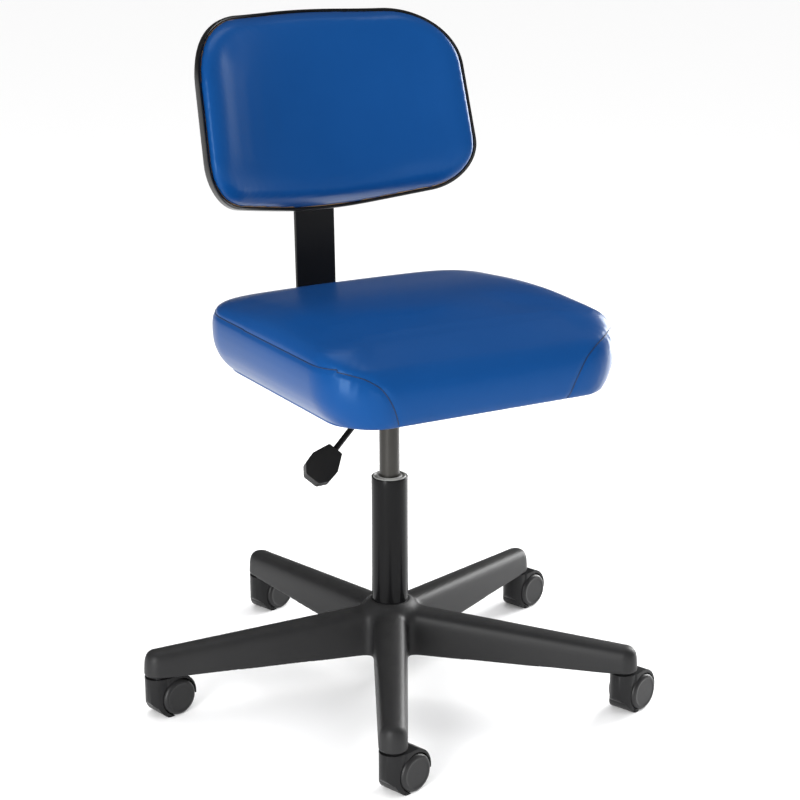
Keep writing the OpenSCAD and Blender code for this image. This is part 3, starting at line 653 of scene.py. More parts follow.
own, _, _ = arm_plan(folded, g["Reach"], 0.0)
neighbour, _, _ = arm_plan(rule("SUBTRACT", 2 * math.pi / 5, folded), g["Reach"], 0.0)
plan = rule("SMOOTH_MIN", own, neighbour, MELT_ARMS)
plan = rule("SMOOTH_MIN", plan, rule("SUBTRACT", radius, g["Hub radius"]), MELT_HUB)
top = along_arm(g["Top at hub"], g["Top at tip"], radius)
bottom = along_arm(g["Underside at hub"], g["Underside at tip"], radius)
arms = rule("SMOOTH_MAX", plan, rule("SUBTRACT", pz, top), ROUND_SHOULDER)
below_top = rule("SUBTRACT", g["Hub top"], pz)
cone = rule("SUBTRACT", rule("SUBTRACT", radius, CONE_START), below_top)
cone = rule("MULTIPLY", cone, CONE_SLOPE)
collar = rule("SMOOTH_MAX", cone, rule("SUBTRACT", radius, g["Hub radius"]), ROUND_COLLAR)
collar = rule("SMOOTH_MAX", collar, rule("SUBTRACT", pz, g["Hub top"]), ROUND_LIP)
solid = rule("SMOOTH_MIN", arms, collar, MELT_COLLAR)
solid = rule("SMOOTH_MAX", solid, rule("SUBTRACT", bottom, pz), ROUND_FOOT)
print("arm rule has", len(base_tree.nodes), "nodes so far")

# %% The hollow underside with its ribs, the column's bore, and the mesh
TIP_BLOCK, HUB_BLOCK = 37.0, 41.0
RIB_HALF, RIB_FROM, HALF_PITCH, RIB_BOTTOM = 1.7, 38.0, 24.0, 60.0
ROUND_HOLLOW, BORE_RADIUS, DEPTH_KEPT = 1.5, 24.2, 6.0
inside, rib_x, rib_y = arm_plan(folded, rule("SUBTRACT", g["Reach"], TIP_BLOCK), g["Wall"])
roof = rule("SUBTRACT", pz, rule("SUBTRACT", top, g["Wall"]))
hollow = rule("SMOOTH_MAX", inside, roof, ROUND_SHOULDER)
hollow = rule("MAXIMUM", hollow, rule("SUBTRACT", HUB_BLOCK, rib_x))
between = rule("ABSOLUTE", rule("WRAP", rule("SUBTRACT", rib_x, RIB_FROM), HALF_PITCH, -HALF_PITCH))
rib = rule("MINIMUM", rule("SUBTRACT", rib_y, RIB_HALF), rule("SUBTRACT", between, RIB_HALF))
rib = rule("MAXIMUM", rib, rule("SUBTRACT", RIB_BOTTOM, pz))
hollow = rule("MAXIMUM", hollow, rule("MULTIPLY", rib, -1.0))
moulding = rule("SMOOTH_MAX", solid, rule("MULTIPLY", hollow, -1.0), ROUND_HOLLOW)
moulding = rule("MAXIMUM", moulding, rule("SUBTRACT", BORE_RADIUS, radius))
grid = base_tree.nodes.new("GeometryNodeVolumeCube")
filled = rule("MAXIMUM", rule("SUBTRACT", DEPTH_KEPT, moulding), 0.0)
filled = rule("MINIMUM", filled, 2 * DEPTH_KEPT)
wire(base_tree, filled, grid.inputs["Density"])
grid.inputs["Min"].default_value = (-0.356, -0.356, 0.042)
grid.inputs["Max"].default_value = (0.356, 0.356, 0.13)
for title, count in (("Resolution X", 356), ("Resolution Y", 356), ("Resolution Z", 44)):
    grid.inputs[title].default_value = count
skin = base_tree.nodes.new("GeometryNodeVolumeToMesh")
skin.inputs["Threshold"].default_value = DEPTH_KEPT
wire(base_tree, grid.outputs["Volume"], skin.inputs["Volume"])
smooth = base_tree.nodes.new("GeometryNodeSetShadeSmooth")
wire(base_tree, skin.outputs["Mesh"], smooth.inputs["Geometry"])
finish_tree(base_tree, given, result, smooth.outputs[0])

ARM_TURN, STRAIGHT_AHEAD = -28.65, 90
first_arm = math.radians(ARM_TURN - STRAIGHT_AHEAD)
base = grown("star_base", base_tree, Finish=base_plastic, **{"First arm": first_arm})
settle_mesh(base.data, 55)
show_box("base model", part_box("five_star_base"))
show_box("star_base", (base.bound_box[0], base.bound_box[6]))
stands_for(base, "base", "base_plastic", "five_star_base")

# %% [markdown]
# ## Column, piston and the guide between them
#
# The column is a drawn steel tube in gloss black enamel with a rolled rim; the piston that
# rises from it is a plain dark tube. All three are lathe shapes: a profile of radius and
# height spun round the axis, with small bevels so that the rims catch the light.


# %% Lathe shapes on the column's axis
def ring_profile(name, profile, finish, count=96):
    """A closed lathe ring: the profile's last point joins its first."""
    points, faces = loft(turned([(r * MM, z * MM) for r, z in profile], count), close=True)
    return piece(name, points, faces, finish, 35)


tube_low, tube_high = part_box("column_tube")
rim = tube_high.z / MM
foot = tube_low.z / MM
sleeve = ring_profile(
    "column_sleeve",
    [
        (23.1, foot + 3), (23.1, rim - 1.6), (23.3, rim - 0.5), (23.8, rim), (24.3, rim),
        (24.8, rim - 0.4), (25, rim - 1.2), (25, rim - 12), (25, foot + 120), (25, foot + 1.5),
        (24.2, foot), (6, foot), (6, foot + 3),
    ],
    tube_enamel,
)
stands_for(sleeve, "base", "tube_enamel", "column_tube")

_, guide_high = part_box("column_guide")
lip = guide_high.z / MM
bush = ring_profile(
    "column_bush",
    [
        (14.15, rim - 70), (14.15, lip - 0.8), (14.6, lip), (16.6, lip), (17.0, lip - 0.5),
        (17.4, lip - 2.6), (20.2, lip - 2.6), (20.6, lip - 0.5), (21, lip), (22.4, lip),
        (22.9, lip - 0.7), (22.9, rim - 70),
    ],
    guide_plastic,
)
stands_for(bush, "base", "guide_plastic", "column_guide")

piston_low, piston_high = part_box("gas_cylinder")
start, end = piston_low.z / MM, piston_high.z / MM
piston = ring_profile(
    "gas_piston",
    [
        (5.2, start), (13, start), (14, start + 1), (14, rim + 20), (14, end - 16),
        (13.6, end - 3), (12.6, end), (3.2, end), (3.2, end - 18), (12, end - 18),
        (12, start + 16), (5.2, start + 16),
    ],
    gas_tube_metal,
)
stands_for(piston, "seat_unit", "gas_tube_metal", "gas_cylinder")

# %% [markdown]
# ## Casters
#
# A hooded twin-wheel caster: a moulded hood with a round post under the arm, and two plain
# wheels with a softly rounded tread and a flat face. The hood keeps the model's shape with
# softened edges. The wheels are lathe shapes, and one helper turns all ten on their axles. The
# places are read from the model, so they follow it if it changes.


# %% Wheels and hoods
WHEEL_RADIUS, WHEEL_WIDTH, WHEEL_STEPS = 25.0, 14.0, 72


def wheel_section(width, radius):
    """(radius, distance from the inner face): a hollow inner side, a closed outer face."""
    return [
        (3.2, 0), (7, 0), (7.4, 1.6), (radius - 5.6, 1.8), (radius - 5.2, 0),
        (radius - 1.2, 0), (radius - 0.35, 0.4), (radius, 1.4), (radius, width - 5.2),
        (radius - 0.3, width - 3.6), (radius - 1.1, width - 1.9), (radius - 2.4, width - 0.7),
        (radius - 3.8, width - 0.15), (radius - 5.2, width), (radius - 5.6, width - 0.25),
        (radius - 9, width - 0.3), (0.4, width - 0.3), (0.4, width - 3.5), (3.2, width - 3.5),
    ]


def caster_wheel(name, axle, direction, start):
    """A wheel whose inner face lies at the distance start from the axle's middle, in metres."""
    turn_to = direction.to_track_quat("Z", "Y").to_matrix()
    angles = np.linspace(0, 2 * math.pi, WHEEL_STEPS, endpoint=False)
    rings = []
    for r, w in wheel_section(WHEEL_WIDTH, WHEEL_RADIUS):
        ring = [(r * MM * math.cos(a), r * MM * math.sin(a), start + w * MM) for a in angles]
        rings.append([axle + turn_to @ Vector(spot) for spot in ring])
    points, faces = loft(rings, close=True)
    return piece(name, points, faces, wheel_plastic, 35)


for number in range(1, 6):
    left_low, left_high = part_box(f"wheel_left_{number}")
    right_low, right_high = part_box(f"wheel_right_{number}")
    left_middle, right_middle = (left_low + left_high) / 2, (right_low + right_high) / 2
    axle = (left_middle + right_middle) / 2
    outward = (right_middle - left_middle).normalized()
    half_gap = (right_middle - left_middle).length / 2 - WHEEL_WIDTH / 2 * MM
    for hand, sign in (("left", -1), ("right", 1)):
        wheel = caster_wheel(f"roller_{hand}_{number}", axle, outward * sign, half_gap)
        stands_for(wheel, f"{hand}_wheel_{number}", "wheel_plastic", f"wheel_{hand}_{number}")
    hood = softened(f"caster_hood_{number}", f"hood_{number}", hood_plastic, 0.5)
    stands_for(hood, f"caster_{number}", "caster_hood_plastic", f"caster_hood_{number}")


# %% [markdown]
# ## The seat cushion
#
# The seat is foam under stretched vinyl. It has a side panel that runs round the back and both
# sides, and a top panel that rolls over the front edge and down to the board; the two meet in
# a seam that stays level along the sides and dives down at the front corners. The shape
# starts as a loft whose section changes from side to front to back. A cloth simulation with
# air pressure inside then puffs it between the held seam lines, as foam does, which no loft
# or subdivision would show. The seam itself is added afterwards.


# %% Outlines seen from above or from the front
def rounded_outline(corners, radii, count):
    """A closed outline with round corners, as evenly spaced points and outward directions."""
    arc_steps = 32
    points = []
    total = len(corners)
    for i, (corner, r) in enumerate(zip(corners, radii)):
        before = np.subtract(corners[i - 1], corner)
        after = np.subtract(corners[(i + 1) % total], corner)
        u, v = before / np.linalg.norm(before), after / np.linalg.norm(after)
        half = math.acos(float(np.clip(u @ v, -1, 1))) / 2
        middle = np.add(corner, (u + v) / np.linalg.norm(u + v) * r / math.sin(half))
        start = np.add(corner, u * r / math.tan(half)) - middle
        end = np.add(corner, v * r / math.tan(half)) - middle
        sweep = math.pi - 2 * half
        turn_sign = np.sign(start[0] * end[1] - start[1] * end[0])
        for k in range(arc_steps + 1):
            a = turn_sign * sweep * k / arc_steps
            x = start[0] * math.cos(a) - start[1] * math.sin(a)
            y = start[0] * math.sin(a) + start[1] * math.cos(a)
            points.append(middle + np.array((x, y)))
    points = np.array(points)
    loop = np.vstack([points, points[:1]])
    length = np.concatenate([[0], np.cumsum(np.linalg.norm(np.diff(loop, axis=0), axis=1))])
    at = np.linspace(0, length[-1], count, endpoint=False)
    even = np.stack([np.interp(at, length, loop[:, k]) for k in range(2)], 1)
    along = np.roll(even, -1, 0) - np.roll(even, 1, 0)
    out = np.stack([along[:, 1], -along[:, 0]], 1)
    out /= np.linalg.norm(out, axis=1)[:, None]
    if np.sum(out * (even - even.mean(0))) < 0:
        out = -out
    return even, out


def through(table, at):
    """A smooth curve through a short table of (position, value)."""
    x, y = np.array(table, float).T
    slope = np.gradient(y, x)
    k = np.clip(np.searchsorted(x, at) - 1, 0, len(x) - 2)
    h = x[k + 1] - x[k]
    t = np.clip((at - x[k]) / h, 0, 1)
    leaving = (2 * t**3 - 3 * t**2 + 1) * y[k] + (t**3 - 2 * t**2 + t) * h * slope[k]
    arriving = (3 * t**2 - 2 * t**3) * y[k + 1] + (t**3 - t**2) * h * slope[k + 1]
    return leaving + arriving


# %% The seat's sections, in millimetres
board_low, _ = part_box("seat_board")
seat_low, seat_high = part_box("seat_cushion")
half_width, front, back_edge = seat_high.x / MM, -seat_low.y / MM, seat_high.y / MM
board_z = board_low.z / MM
SEAM_RISE = 76
SEAM_Z = board_z + SEAM_RISE
FRONT_CORNER, REAR_CORNER = 76, 95
SEAM_STEP, LAST_STEP = 7, 11
RINGS_UP = np.linspace(0, LAST_STEP, 34)
SEAT_MIDDLE = np.array((0.0, -45.0))
# distance in from the outline, from the board's edge up to the top panel, at steps 0 to 11
SIDE_IN = list(enumerate([28.5, 25.5, 21, 12.5, 4.2, 1.2, 1.0, 3, 6.5, 13.5, 27, 50]))
FRONT_IN = list(enumerate([28.5, 10, 6.5, 3.6, 1.6, 2.4, 7, 14.5, 26, 41, 58, 80]))
REAR_IN = list(enumerate([28.5, 12, 6, 2.2, 0.8, 1.2, 3.5, 7.5, 13, 22, 36, 56]))
# height: steps 0 to 7 climb to the seam, the rest share out what is left up to the crown
CLIMB = list(enumerate([0.0, 0.02, 0.07, 0.2, 0.42, 0.66, 0.86, 1.0]))
SIDE_SHARE = [(7, 0), (8, 0.44), (9, 0.74), (10, 0.92), (11, 1)]
FRONT_SHARE = [(7, 0), (8, 0.34), (9, 0.64), (10, 0.86), (11, 1)]
REAR_SHARE = [(7, 0), (8, 0.45), (9, 0.74), (10, 0.9), (11, 1)]
RIDGE = [
    (-front - 5, 91), (-210, 101), (-165, 106), (-110, 107.5), (-50, 106),
    (0, 102.5), (60, 97), (130, 91), (180, 86),
]
ROUND_OVER = 1.5


def crown(x, y):
    """Height of the top panel over the board: highest just ahead of the middle, lower at the back."""
    return board_z + through(RIDGE, y) - ROUND_OVER * (x / 170) ** 2


def seat_outline(inset, count):
    """The seat's outline moved inwards, with the outward direction at each point."""
    w, f, b = half_width - inset, front - inset, back_edge - inset
    ahead, behind = FRONT_CORNER - inset * 0.9, REAR_CORNER - inset * 0.9
    corners = [(-w, -f), (w, -f), (w, b), (-w, b)]
    return rounded_outline(corners, [ahead, ahead, behind, behind], count)


def seat_rings(count):
    """Rings of the seat, from the middle of its underside round to the middle of its top."""
    outline, out = seat_outline(0, count)
    to_front, to_rear = np.maximum(-out[:, 1], 0) ** 2, np.maximum(out[:, 1], 0) ** 2
    to_side = 1 - to_front - to_rear

    def blend(side, ahead, behind, step):
        mixed = to_side * through(side, step) + to_front * through(ahead, step)
        return mixed + to_rear * through(behind, step)

    rings = []
    for step in RINGS_UP:
        plan = outline - out * blend(SIDE_IN, FRONT_IN, REAR_IN, step)[:, None]
        if step <= SEAM_STEP:
            z = board_z + (SEAM_Z - board_z) * through(CLIMB, step) * np.ones(count)
        else:
            share = blend(SIDE_SHARE, FRONT_SHARE, REAR_SHARE, step)
            z = SEAM_Z + (crown(plan[:, 0], plan[:, 1]) - SEAM_Z) * share
        rings.append(np.column_stack([plan, z]))
    edge = rings[-1]
    for share in (0.12, 0.26, 0.4, 0.55, 0.7, 0.84, 0.95):
        plan = edge[:, :2] * (1 - share) + SEAT_MIDDLE * share
        rings.append(np.column_stack([plan, crown(plan[:, 0], plan[:, 1])]))
    lip = [rings[0] + (0, 0, rise) for rise in (8, 13.2)]
    under = lip[-1]
    floor_rings = []
    for share in (0.2, 0.45, 0.7, 0.93):
        flat = under.copy()
        flat[:, :2] = under[:, :2] * (1 - share) + SEAT_MIDDLE * share
        floor_rings.append(flat)
    return floor_rings[::-1] + lip[::-1] + rings


points, faces = loft([ring * MM for ring in seat_rings(168)])
seat = piece("seat_pad", points, faces, blue_vinyl, 180)
show_box("seat starts at", (seat.bound_box[0], seat.bound_box[6]))


# %% [markdown]
# The seam is one path: down the front at one corner, round that side, the back and the other
# side, and down the front again. Each point is found by looking in from outside, level, until
# the cushion is met. The same path is used three times: to hold the cloth, to press a valley
# into the vinyl, and to lay the thread.


# %% The path of the seam
SEAM_DIVE = [
    (0.5, 0.0), (0.6, 4), (0.64, 26), (0.7, 49), (0.79, 64), (0.88, 70.5), (0.96, 74.5),
    (1.0, SEAM_RISE),
]
RIGHT_SHIFT = 0.08


def seam_height(x, y):
    """Level round the sides and the back; near the front it dives to the board."""
    if y > -front + 34:
        return SEAM_Z + (0.8 if y > 0 else 0)
    across = abs(x) / half_width + (RIGHT_SHIFT if x > 0 else 0.0)
    return board_z + float(through(SEAM_DIVE, np.array(min(across, 1.0))))


def met_from_outside(tree, spot, out, z):
    """Where a level look inwards meets the cushion."""
    away_by = 60
    start = Vector((spot[0] + out[0] * away_by, spot[1] + out[1] * away_by, z)) * MM
    hit, normal, _, _ = tree.ray_cast(start, Vector((-out[0], -out[1], 0)))
    return hit, normal


def seam_path(made):
    """Points and normals on the cushion along the seam, from one front corner to the other."""
    graph = bpy.context.evaluated_depsgraph_get()
    tree = BVHTree.FromObject(made, graph)
    even, out = seat_outline(0, 900)
    across = even[:, 0] / half_width
    ahead = (even[:, 1] < -front + 2) & (across > -0.6) & (across < 0.52)
    first = np.where(~ahead & np.roll(ahead, 1))[0][0]
    path = []
    for i in [(first + k) % len(even) for k in range(len(even))]:
        if ahead[i]:
            continue
        z = max(seam_height(*even[i]), board_z + 5)
        hit, normal = met_from_outside(tree, even[i], out[i], z)
        if hit is not None:
            path.append((hit, normal))
    return path


start_seam = seam_path(seat)
show_box(f"seam of {len(start_seam)} points, its ends:", (start_seam[0][0], start_seam[-1][0]))


# %% [markdown]
# The simulation is the same for both cushions, so it is one helper: an even mesh, air pressure
# without gravity, some points held, a cap on how far any point may swell, and one smooth
# subdivision. Upholstery is pulled tight when it is sewn, so the swelling is taken along the
# surface's normals and evened out between neighbours; that leaves the curve of the foam and
# takes away the small folds of a loose cloth.


# %% Puffing a cushion with cloth under pressure
def lookup(spots):
    """A tree that finds the nearest of the spots."""
    tree = KDTree(len(spots))
    for k, spot in enumerate(spots):
        tree.insert(spot, k)
    tree.balance()
    return tree


def near(path, reach):
    """A test for points that lie within reach of a path."""
    tree = lookup(path)
    return lambda spot: tree.find(spot)[2] < reach


PRESSURE, LAST_FRAME, STRETCH_STEPS = 4.0, 20, 40


def evened(swell, ends, loose):
    """The swelling shared out between neighbours; points that are not loose keep none."""
    links = np.bincount(ends.ravel(), minlength=len(swell))
    for _ in range(STRETCH_STEPS):
        total = np.bincount(ends[:, 0], swell[ends[:, 1]], len(swell))
        total += np.bincount(ends[:, 1], swell[ends[:, 0]], len(swell))
        swell = np.where(loose, 0.5 * swell + 0.5 * total / links, 0.0)
    return swell


def puffed(made, voxel, held, cap):
    """Swells made like a tight cushion; held(point) is true for points that stay."""
    name = made.name
    even = made.modifiers.new("even_mesh", "REMESH")
    even.mode, even.voxel_size = "VOXEL", voxel
    made = freeze(made, name)
    relax = made.modifiers.new("relax", "SMOOTH")
    relax.factor, relax.iterations = 0.5, 2
    made = freeze(made, name)
    mesh = made.data
    rest = np.array([v.co for v in mesh.vertices])
    pins = made.vertex_groups.new(name="held")
    fixed = [v.index for v in mesh.vertices if held(v.co)]
    pins.add(fixed, 1.0, "REPLACE")
    cloth = made.modifiers.new("cloth", "CLOTH")
    cloth.settings.quality = 6
    cloth.settings.mass = 0.3
    cloth.settings.tension_stiffness = cloth.settings.compression_stiffness = 12
    cloth.settings.bending_stiffness = 1.5
    cloth.settings.use_pressure = True
    cloth.settings.uniform_pressure_force = PRESSURE
    cloth.settings.vertex_group_mass = "held"
    cloth.settings.effector_weights.gravity = 0
    cloth.point_cache.frame_start, cloth.point_cache.frame_end = 1, LAST_FRAME
    for number in range(1, LAST_FRAME + 1):
        scene.frame_set(number)
    graph = bpy.context.evaluated_depsgraph_get()
    shape = made.evaluated_get(graph).to_mesh()
    swollen = np.array([v.co for v in shape.vertices])
    made.evaluated_get(graph).to_mesh_clear()
    made.modifiers.clear()
    made.vertex_groups.clear()
    outward = np.array([v.normal for v in mesh.vertices])
    swell = np.sum((swollen - rest) * outward, axis=1)
    far = np.abs(swell).max()
    swell = cap * np.tanh(swell / cap)
    loose = np.ones(len(rest), bool)
    loose[fixed] = False
    swell = evened(swell, np.array([e.vertices for e in mesh.edges]), loose)
    kept = np.abs(swell).max()
    print(f"{name}: {len(rest)} points, {len(fixed)} held")
    print(f"  swelled by up to {far / MM:.1f} mm, {kept / MM:.1f} mm after the stretch")
    for vertex, spot in zip(mesh.vertices, rest + outward * swell[:, None]):
        vertex.co = spot
    scene.frame_set(1)
    finer = made.modifiers.new("finer", "SUBSURF")
    finer.levels = finer.render_levels = 1
    return freeze(made, name)


seam_test = near([hit for hit, _ in start_seam], 0.0045)
edge_z, lip_z, UNDER_IN = (board_z + 4) * MM, (board_z + 16) * MM, 27


def seat_held(p):
    """True on the seam, at the board's edge and under the board."""
    across, along = abs(p.x) / MM < half_width - UNDER_IN, p.y / MM < back_edge - UNDER_IN
    under = p.z < lip_z and across and along and p.y / MM > -(front - UNDER_IN)
    return seam_test(p) or p.z < edge_z or under


seat = puffed(seat, 0.005, seat_held, 0.004)
show_box("seat now at", (seat.bound_box[0], seat.bound_box[6]))


# %% [markdown]
# ## The seam's valley, its puckers and its thread
#
# A sewn seam pulls the vinyl down into a narrow valley, and where it turns sharply at the
# front corners the spare material gathers into short puckers across it. Both are small moves
# of the finished surface along its normals. The stitches are hundreds of equal dashes on a
# path, which is work for Geometry Nodes: the path is cut to even steps, a short rod is set on
# each, turned along the path, and made real.


# %% Valley and puckers
VALLEY_REACH, PUCKER_REACH, PUCKER_SPREAD, PUCKER_STEP = 0.03, 0.045, 0.02, 0.012


def press_valley(made, path, depth, width, pucker_spots, pucker):
    """Moves points near the path inwards; near the spots they also wave along it."""
    spots = [hit for hit, _ in path]
    tree = lookup(spots)
    length = np.concatenate([[0], np.cumsum([(b - a).length for a, b in zip(spots, spots[1:])])])
    moved = 0
    normals = [v.normal.copy() for v in made.data.vertices]
    for vertex, normal in zip(made.data.vertices, normals):
        _, k, far = tree.find(vertex.co)
        if far > VALLEY_REACH:
            continue
        push = depth * math.exp(-((far / width) ** 2))
        wave = 0.5 + 0.5 * math.cos(2 * math.pi * length[k] / PUCKER_STEP)
        for spot in pucker_spots:
            gap = (Vector(spot) - vertex.co).length
            if gap < PUCKER_REACH:
                fade = math.exp(-((gap / PUCKER_SPREAD) ** 2))
                push += pucker * fade * wave * min(1.0, far / 0.003)
        vertex.co -= normal * push
        moved += 1
    print(f"{made.name}: valley moved {moved} points")


seam = seam_path(seat)
corner_spots = [(-0.192, -0.243, 0.527), (0.192, -0.243, 0.529)]
press_valley(seat, seam, 0.0011, 0.0035, corner_spots, 0.0004)
seam = seam_path(seat)
seat.data.shade_smooth()

# %% Stitches along a path
stitch_tree, given, result = new_geometry_tree(
    "stitches_on_a_path",
    [
        ("Geometry", GEOMETRY, None),
        ("Step", LENGTH, 0.0042),
        ("Stitch length", LENGTH, 0.0032),
        ("Thread radius", LENGTH, 0.0004),
        ("Finish", MATERIAL, None),
    ],
)
g = given.outputs
to_curve = stitch_tree.nodes.new("GeometryNodeMeshToCurve")
even_steps = stitch_tree.nodes.new("GeometryNodeResampleCurve")
even_steps.mode = "LENGTH"
along = stitch_tree.nodes.new("GeometryNodeInputTangent")
aligned = stitch_tree.nodes.new("FunctionNodeAlignRotationToVector")
aligned.axis = "Z"
rod = stitch_tree.nodes.new("GeometryNodeMeshCylinder")
rod.inputs["Vertices"].default_value = 6
planted = stitch_tree.nodes.new("GeometryNodeInstanceOnPoints")
wire(stitch_tree, g["Geometry"], to_curve.inputs["Mesh"])
wire(stitch_tree, to_curve.outputs["Curve"], even_steps.inputs["Curve"])
wire(stitch_tree, g["Step"], even_steps.inputs["Length"])
wire(stitch_tree, along.outputs[0], aligned.inputs["Vector"])
wire(stitch_tree, g["Thread radius"], rod.inputs["Radius"])
wire(stitch_tree, g["Stitch length"], rod.inputs["Depth"])
wire(stitch_tree, even_steps.outputs["Curve"], planted.inputs["Points"])
wire(stitch_tree, rod.outputs["Mesh"], planted.inputs["Instance"])
wire(stitch_tree, aligned.outputs["Rotation"], planted.inputs["Rotation"])
finish_tree(stitch_tree, given, result, planted.outputs["Instances"])


def stitched(name, path, finish, **values):
    """A row of stitches on a path of points."""
    line = bpy.data.meshes.new(name)
    line.from_pydata([tuple(p) for p in path], [(k, k + 1) for k in range(len(path) - 1)], [])
    holder = bpy.data.objects.new(name, line)
    scene.collection.objects.link(holder)
    made = grown(name, stitch_tree, holder, Finish=finish, **values)
    print(f"{name}: {len(made.data.polygons)} faces")
    return made


# The thread's dark colour is partly its own and partly painted shade of the seam's valley.
THREAD = {"Step": 0.0030, "Stitch length": 0.0030, "Thread radius": 0.00055}
thread_path = [hit + normal * 0.0002 for hit, normal in seam]
thread = stitched("seat_seam", thread_path, thread_painted_seam_shade, **THREAD)
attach(thread, "seat_unit")
stands_for(seat, "seat_unit", "blue_vinyl", "seat_cushion")

# %% [markdown]
# Under the board the vinyl is folded in and stapled, and a felt cover hides the rest. The hem is
# a thin band that follows the board's outline; the staples reuse the stitch tree with a wide
# step and a steel finish.


# %% Hem and staples under the seat
cover_low, cover_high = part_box("under_cover")
cover_in = (seat_high.x - cover_high.x) / MM
HEM_POINTS = 200
HEM_SECTION = [
    (27.7, -7.5), (25.6, -7.5), (24.9, -4.0), (25.0, -0.5), (25.9, 0.6), (28, 1.0),
    (cover_in - 1.4, 0.95), (cover_in - 0.8, 0.6), (cover_in - 1.2, 0.2), (27.7, 0.2),
]
hem_rings = []
for inset, drop in HEM_SECTION:
    flat, _ = seat_outline(inset, HEM_POINTS)
    hem_rings.append(np.column_stack([flat, np.full(HEM_POINTS, board_z - drop)]) * MM)
points, faces = loft(hem_rings, close=True)
hem = piece("seat_hem", points, faces, blue_vinyl, 60)
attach(hem, "seat_unit")
staple_line, _ = seat_outline(cover_in + 5, 120)
staple_loop = np.vstack([staple_line, staple_line[:1]])
staple_path = [Vector((x * MM, y * MM, cover_low.z - 0.0004)) for x, y in staple_loop]
STAPLE = {"Step": 0.032, "Stitch length": 0.010, "Thread radius": 0.0005}
staples = stitched("cover_staples", staple_path, zinc_steel, **STAPLE)
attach(staples, "seat_unit")

# %% [markdown]
# ## The back cushion
#
# The back is bent round the sitter: its rim lies on an upright cylinder, and the foam is thick in
# the middle and thin at the sides. The loft runs from the rim inwards, and each ring's depth
# follows a soft shoulder that is wide at the left and right and tighter at the top and bottom.
# Then the same pressure as before puffs the front, with the rim and the flat rear held.

# %% The back's own axes and its outline
LEAN = math.radians(14.5)
RIM_BEND, FACE_BEND, PAD, EDGE_BUILD_UP = 300.0, 435.0, 38.0, 12.0
back_origin = Vector((0, 0.209461, 0.773914))
back_across = Vector((1, 0, 0))
back_rear = Vector((0, math.cos(LEAN), -math.sin(LEAN)))
back_up = Vector((0, math.sin(LEAN), math.cos(LEAN)))
BACK_CORNERS = [(-204.5, -122), (0, -138), (204.5, -122), (195.5, 122), (0, 138), (-195.5, 122)]
BACK_RADII = [59, 900, 59, 95, 700, 95]


def on_back(u, depth, v):
    """A place in the back's own axes, in millimetres: across, rearward, up."""
    sideways, rearward, upright = float(u) * MM, float(depth) * MM, float(v) * MM
    return back_origin + back_across * sideways + back_rear * rearward + back_up * upright


def rim_depth(u):
    """How far ahead of the back's middle line the bent rim lies; it is 0 or less."""
    return -RIM_BEND + np.sqrt(RIM_BEND**2 - np.asarray(u) ** 2)


def foam(u):
    """Thickness of the pad from the rim's surface to its face."""
    face = -PAD - FACE_BEND + np.sqrt(FACE_BEND**2 - np.asarray(u) ** 2)
    return rim_depth(u) - face + EDGE_BUILD_UP * (np.asarray(u) / 195) ** 4


back_outline, back_out = rounded_outline(BACK_CORNERS, BACK_RADII, 220)
EDGE_LIP, SIDE_SHOULDER, TOP_SHOULDER, ROUNDNESS = 2.4, 28, 21, 2.05
wide = SIDE_SHOULDER * back_out[:, 0] ** 2 + TOP_SHOULDER * back_out[:, 1] ** 2
SHRINK = [0, 0.25, 0.8, 1.8, 3.2, 5, 7.5, 10.5, 14, 18, 22.5, 28, 36, 46]
back_rings = []
for inset in SHRINK:
    plan = back_outline - back_out * (inset + EDGE_LIP)
    rise = (1 - (1 - np.minimum(inset / wide, 1)) ** ROUNDNESS) ** (1 / ROUNDNESS)
    height = np.maximum(foam(plan[:, 0]) * rise, min(3.6, inset * 14))
    back_rings.append([on_back(u, rim_depth(u) - h, v) for (u, v), h in zip(plan, height)])
inner_plan = back_outline - back_out * (SHRINK[-1] + EDGE_LIP)
for share in (0.15, 0.32, 0.5, 0.68, 0.84, 0.95):
    plan = inner_plan * (1 - share)
    height = foam(plan[:, 0])
    back_rings.append([on_back(u, rim_depth(u) - h, v) for (u, v), h in zip(plan, height)])
rear_rings = []
for share in (0.96, 0.8, 0.62, 0.45, 0.3, 0.16, 0.06, 0.0):
    plan = (back_outline - back_out * EDGE_LIP) * (1 - share)
    rear_rings.append([on_back(u, rim_depth(u) - 0.1, v) for u, v in plan])
points, faces = loft(rear_rings + back_rings)
pad = piece("back_pad", points, faces, blue_vinyl, 180)
rim_line = back_outline - back_out * EDGE_LIP
rim_test = near([on_back(u, rim_depth(u) - 1.5, v) for u, v in rim_line], 0.004)


def back_held(p):
    """True on the rim and on the rear, which lies against the board."""
    local = p - back_origin
    return rim_test(p) or local.dot(back_rear) / MM > rim_depth(local.x / MM) - 2.5


pad = puffed(pad, 0.004, back_held, 0.0035)
pad.data.shade_smooth()
stands_for(pad, "backrest", "blue_vinyl", "back_cushion")
show_box("back pad", (pad.bound_box[0], pad.bound_box[6]))

# %% [markdown]
# The black edge is one extruded strip with a soft lip that laps over the pad's rim. Its section
# is drawn once, as (outward, rearward) pairs, and carried round the outline.

# %% The edge strip
STRIP = [
    (-2.6, -1.2), (-2.2, -2.3), (-1.2, -2.9), (0.2, -2.8), (1.3, -2.2), (1.9, -1.0),
    (2.0, 1.0), (2.0, 9.5), (1.7, 11.6), (0.9, 12.8), (0.1, 12.8), (0.1, -0.2),
]
strip_rings = []
for outward_by, rearward_by in STRIP:
    plan = back_outline + back_out * outward_by
    strip_rings.append([on_back(u, rim_depth(u) + rearward_by, v) for u, v in plan])
points, faces = loft(strip_rings, close=True)
strip = piece("edge_trim", points, faces, trim_plastic, 35)
stands_for(strip, "backrest", "trim_plastic", "back_trim")

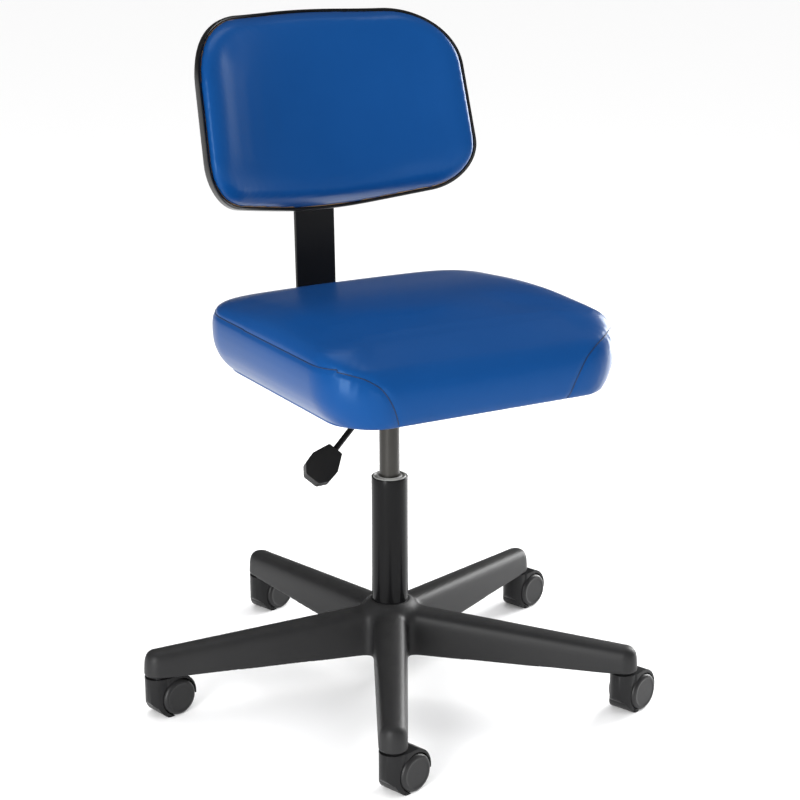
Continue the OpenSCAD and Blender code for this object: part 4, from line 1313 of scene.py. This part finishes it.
# %% [markdown]
# ## Shell, bar and the small parts
#
# The remaining pieces are hard and keep the model's shapes. What the eye misses on them is the
# round edge, so each is a softened copy. The lever's grip gets much rounder edges, because the
# hand holds it.

# %% Hard pieces with round edges
HARD_PIECES = [
    ("back_shell", "rear_shell", shell_plastic, 0.6, 2, "backrest", "shell_plastic"),
    ("back_bar", "upright_bar", black_enamel, 0.9, 3, "back_support", "black_enamel"),
    ("lever_rod", "lever_arm", black_enamel, 0.5, 2, "height_lever", "black_enamel"),
    ("lever_knob", "lever_grip", grip_plastic, 3.2, 5, "height_lever", "grip_plastic"),
    ("back_bracket", "slide_bracket", black_enamel, 0.6, 2, "backrest", "black_enamel"),
    ("mechanism_tray", "pressed_tray", black_enamel, 0.5, 2, "seat_unit", "black_enamel"),
    ("depth_knob", "depth_hand_knob", grip_plastic, 0.8, 3, "depth_clamp", "grip_plastic"),
    ("height_knob", "height_hand_knob", grip_plastic, 0.8, 3, "height_clamp", "grip_plastic"),
]
for node, name, finish, width, segments, body, slot in HARD_PIECES:
    stands_for(softened(node, name, finish, width, segments), body, slot, node)

# %% Every other model node gets its finish
FINISHES = {
    "base_plastic": base_plastic,
    "tube_enamel": tube_enamel,
    "guide_plastic": guide_plastic,
    "bright_steel": bright_steel,
    "gas_tube_metal": gas_tube_metal,
    "zinc_steel": zinc_steel,
    "black_enamel": black_enamel,
    "grip_plastic": grip_plastic,
    "plywood": plywood_finish,
    "blue_vinyl": blue_vinyl,
    "black_felt": black_felt,
    "trim_plastic": trim_plastic,
    "shell_plastic": shell_plastic,
    "caster_hood_plastic": hood_plastic,
    "wheel_plastic": wheel_plastic,
}
for part in frame["record"]["subparts"]:
    carried = frame["nodes"][part["node"]]
    carried.data.materials.clear()
    carried.data.materials.append(FINISHES[part["material_slot"]])

# %% [markdown]
# ## The last look
#
# The dressed chair should still fill the same box as the model. Both boxes are printed.

# %% Print the two boxes
dressed_box = [[float(v) for v in corner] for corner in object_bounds()]
show_box("model  ", cad_box)
show_box("dressed", dressed_box)
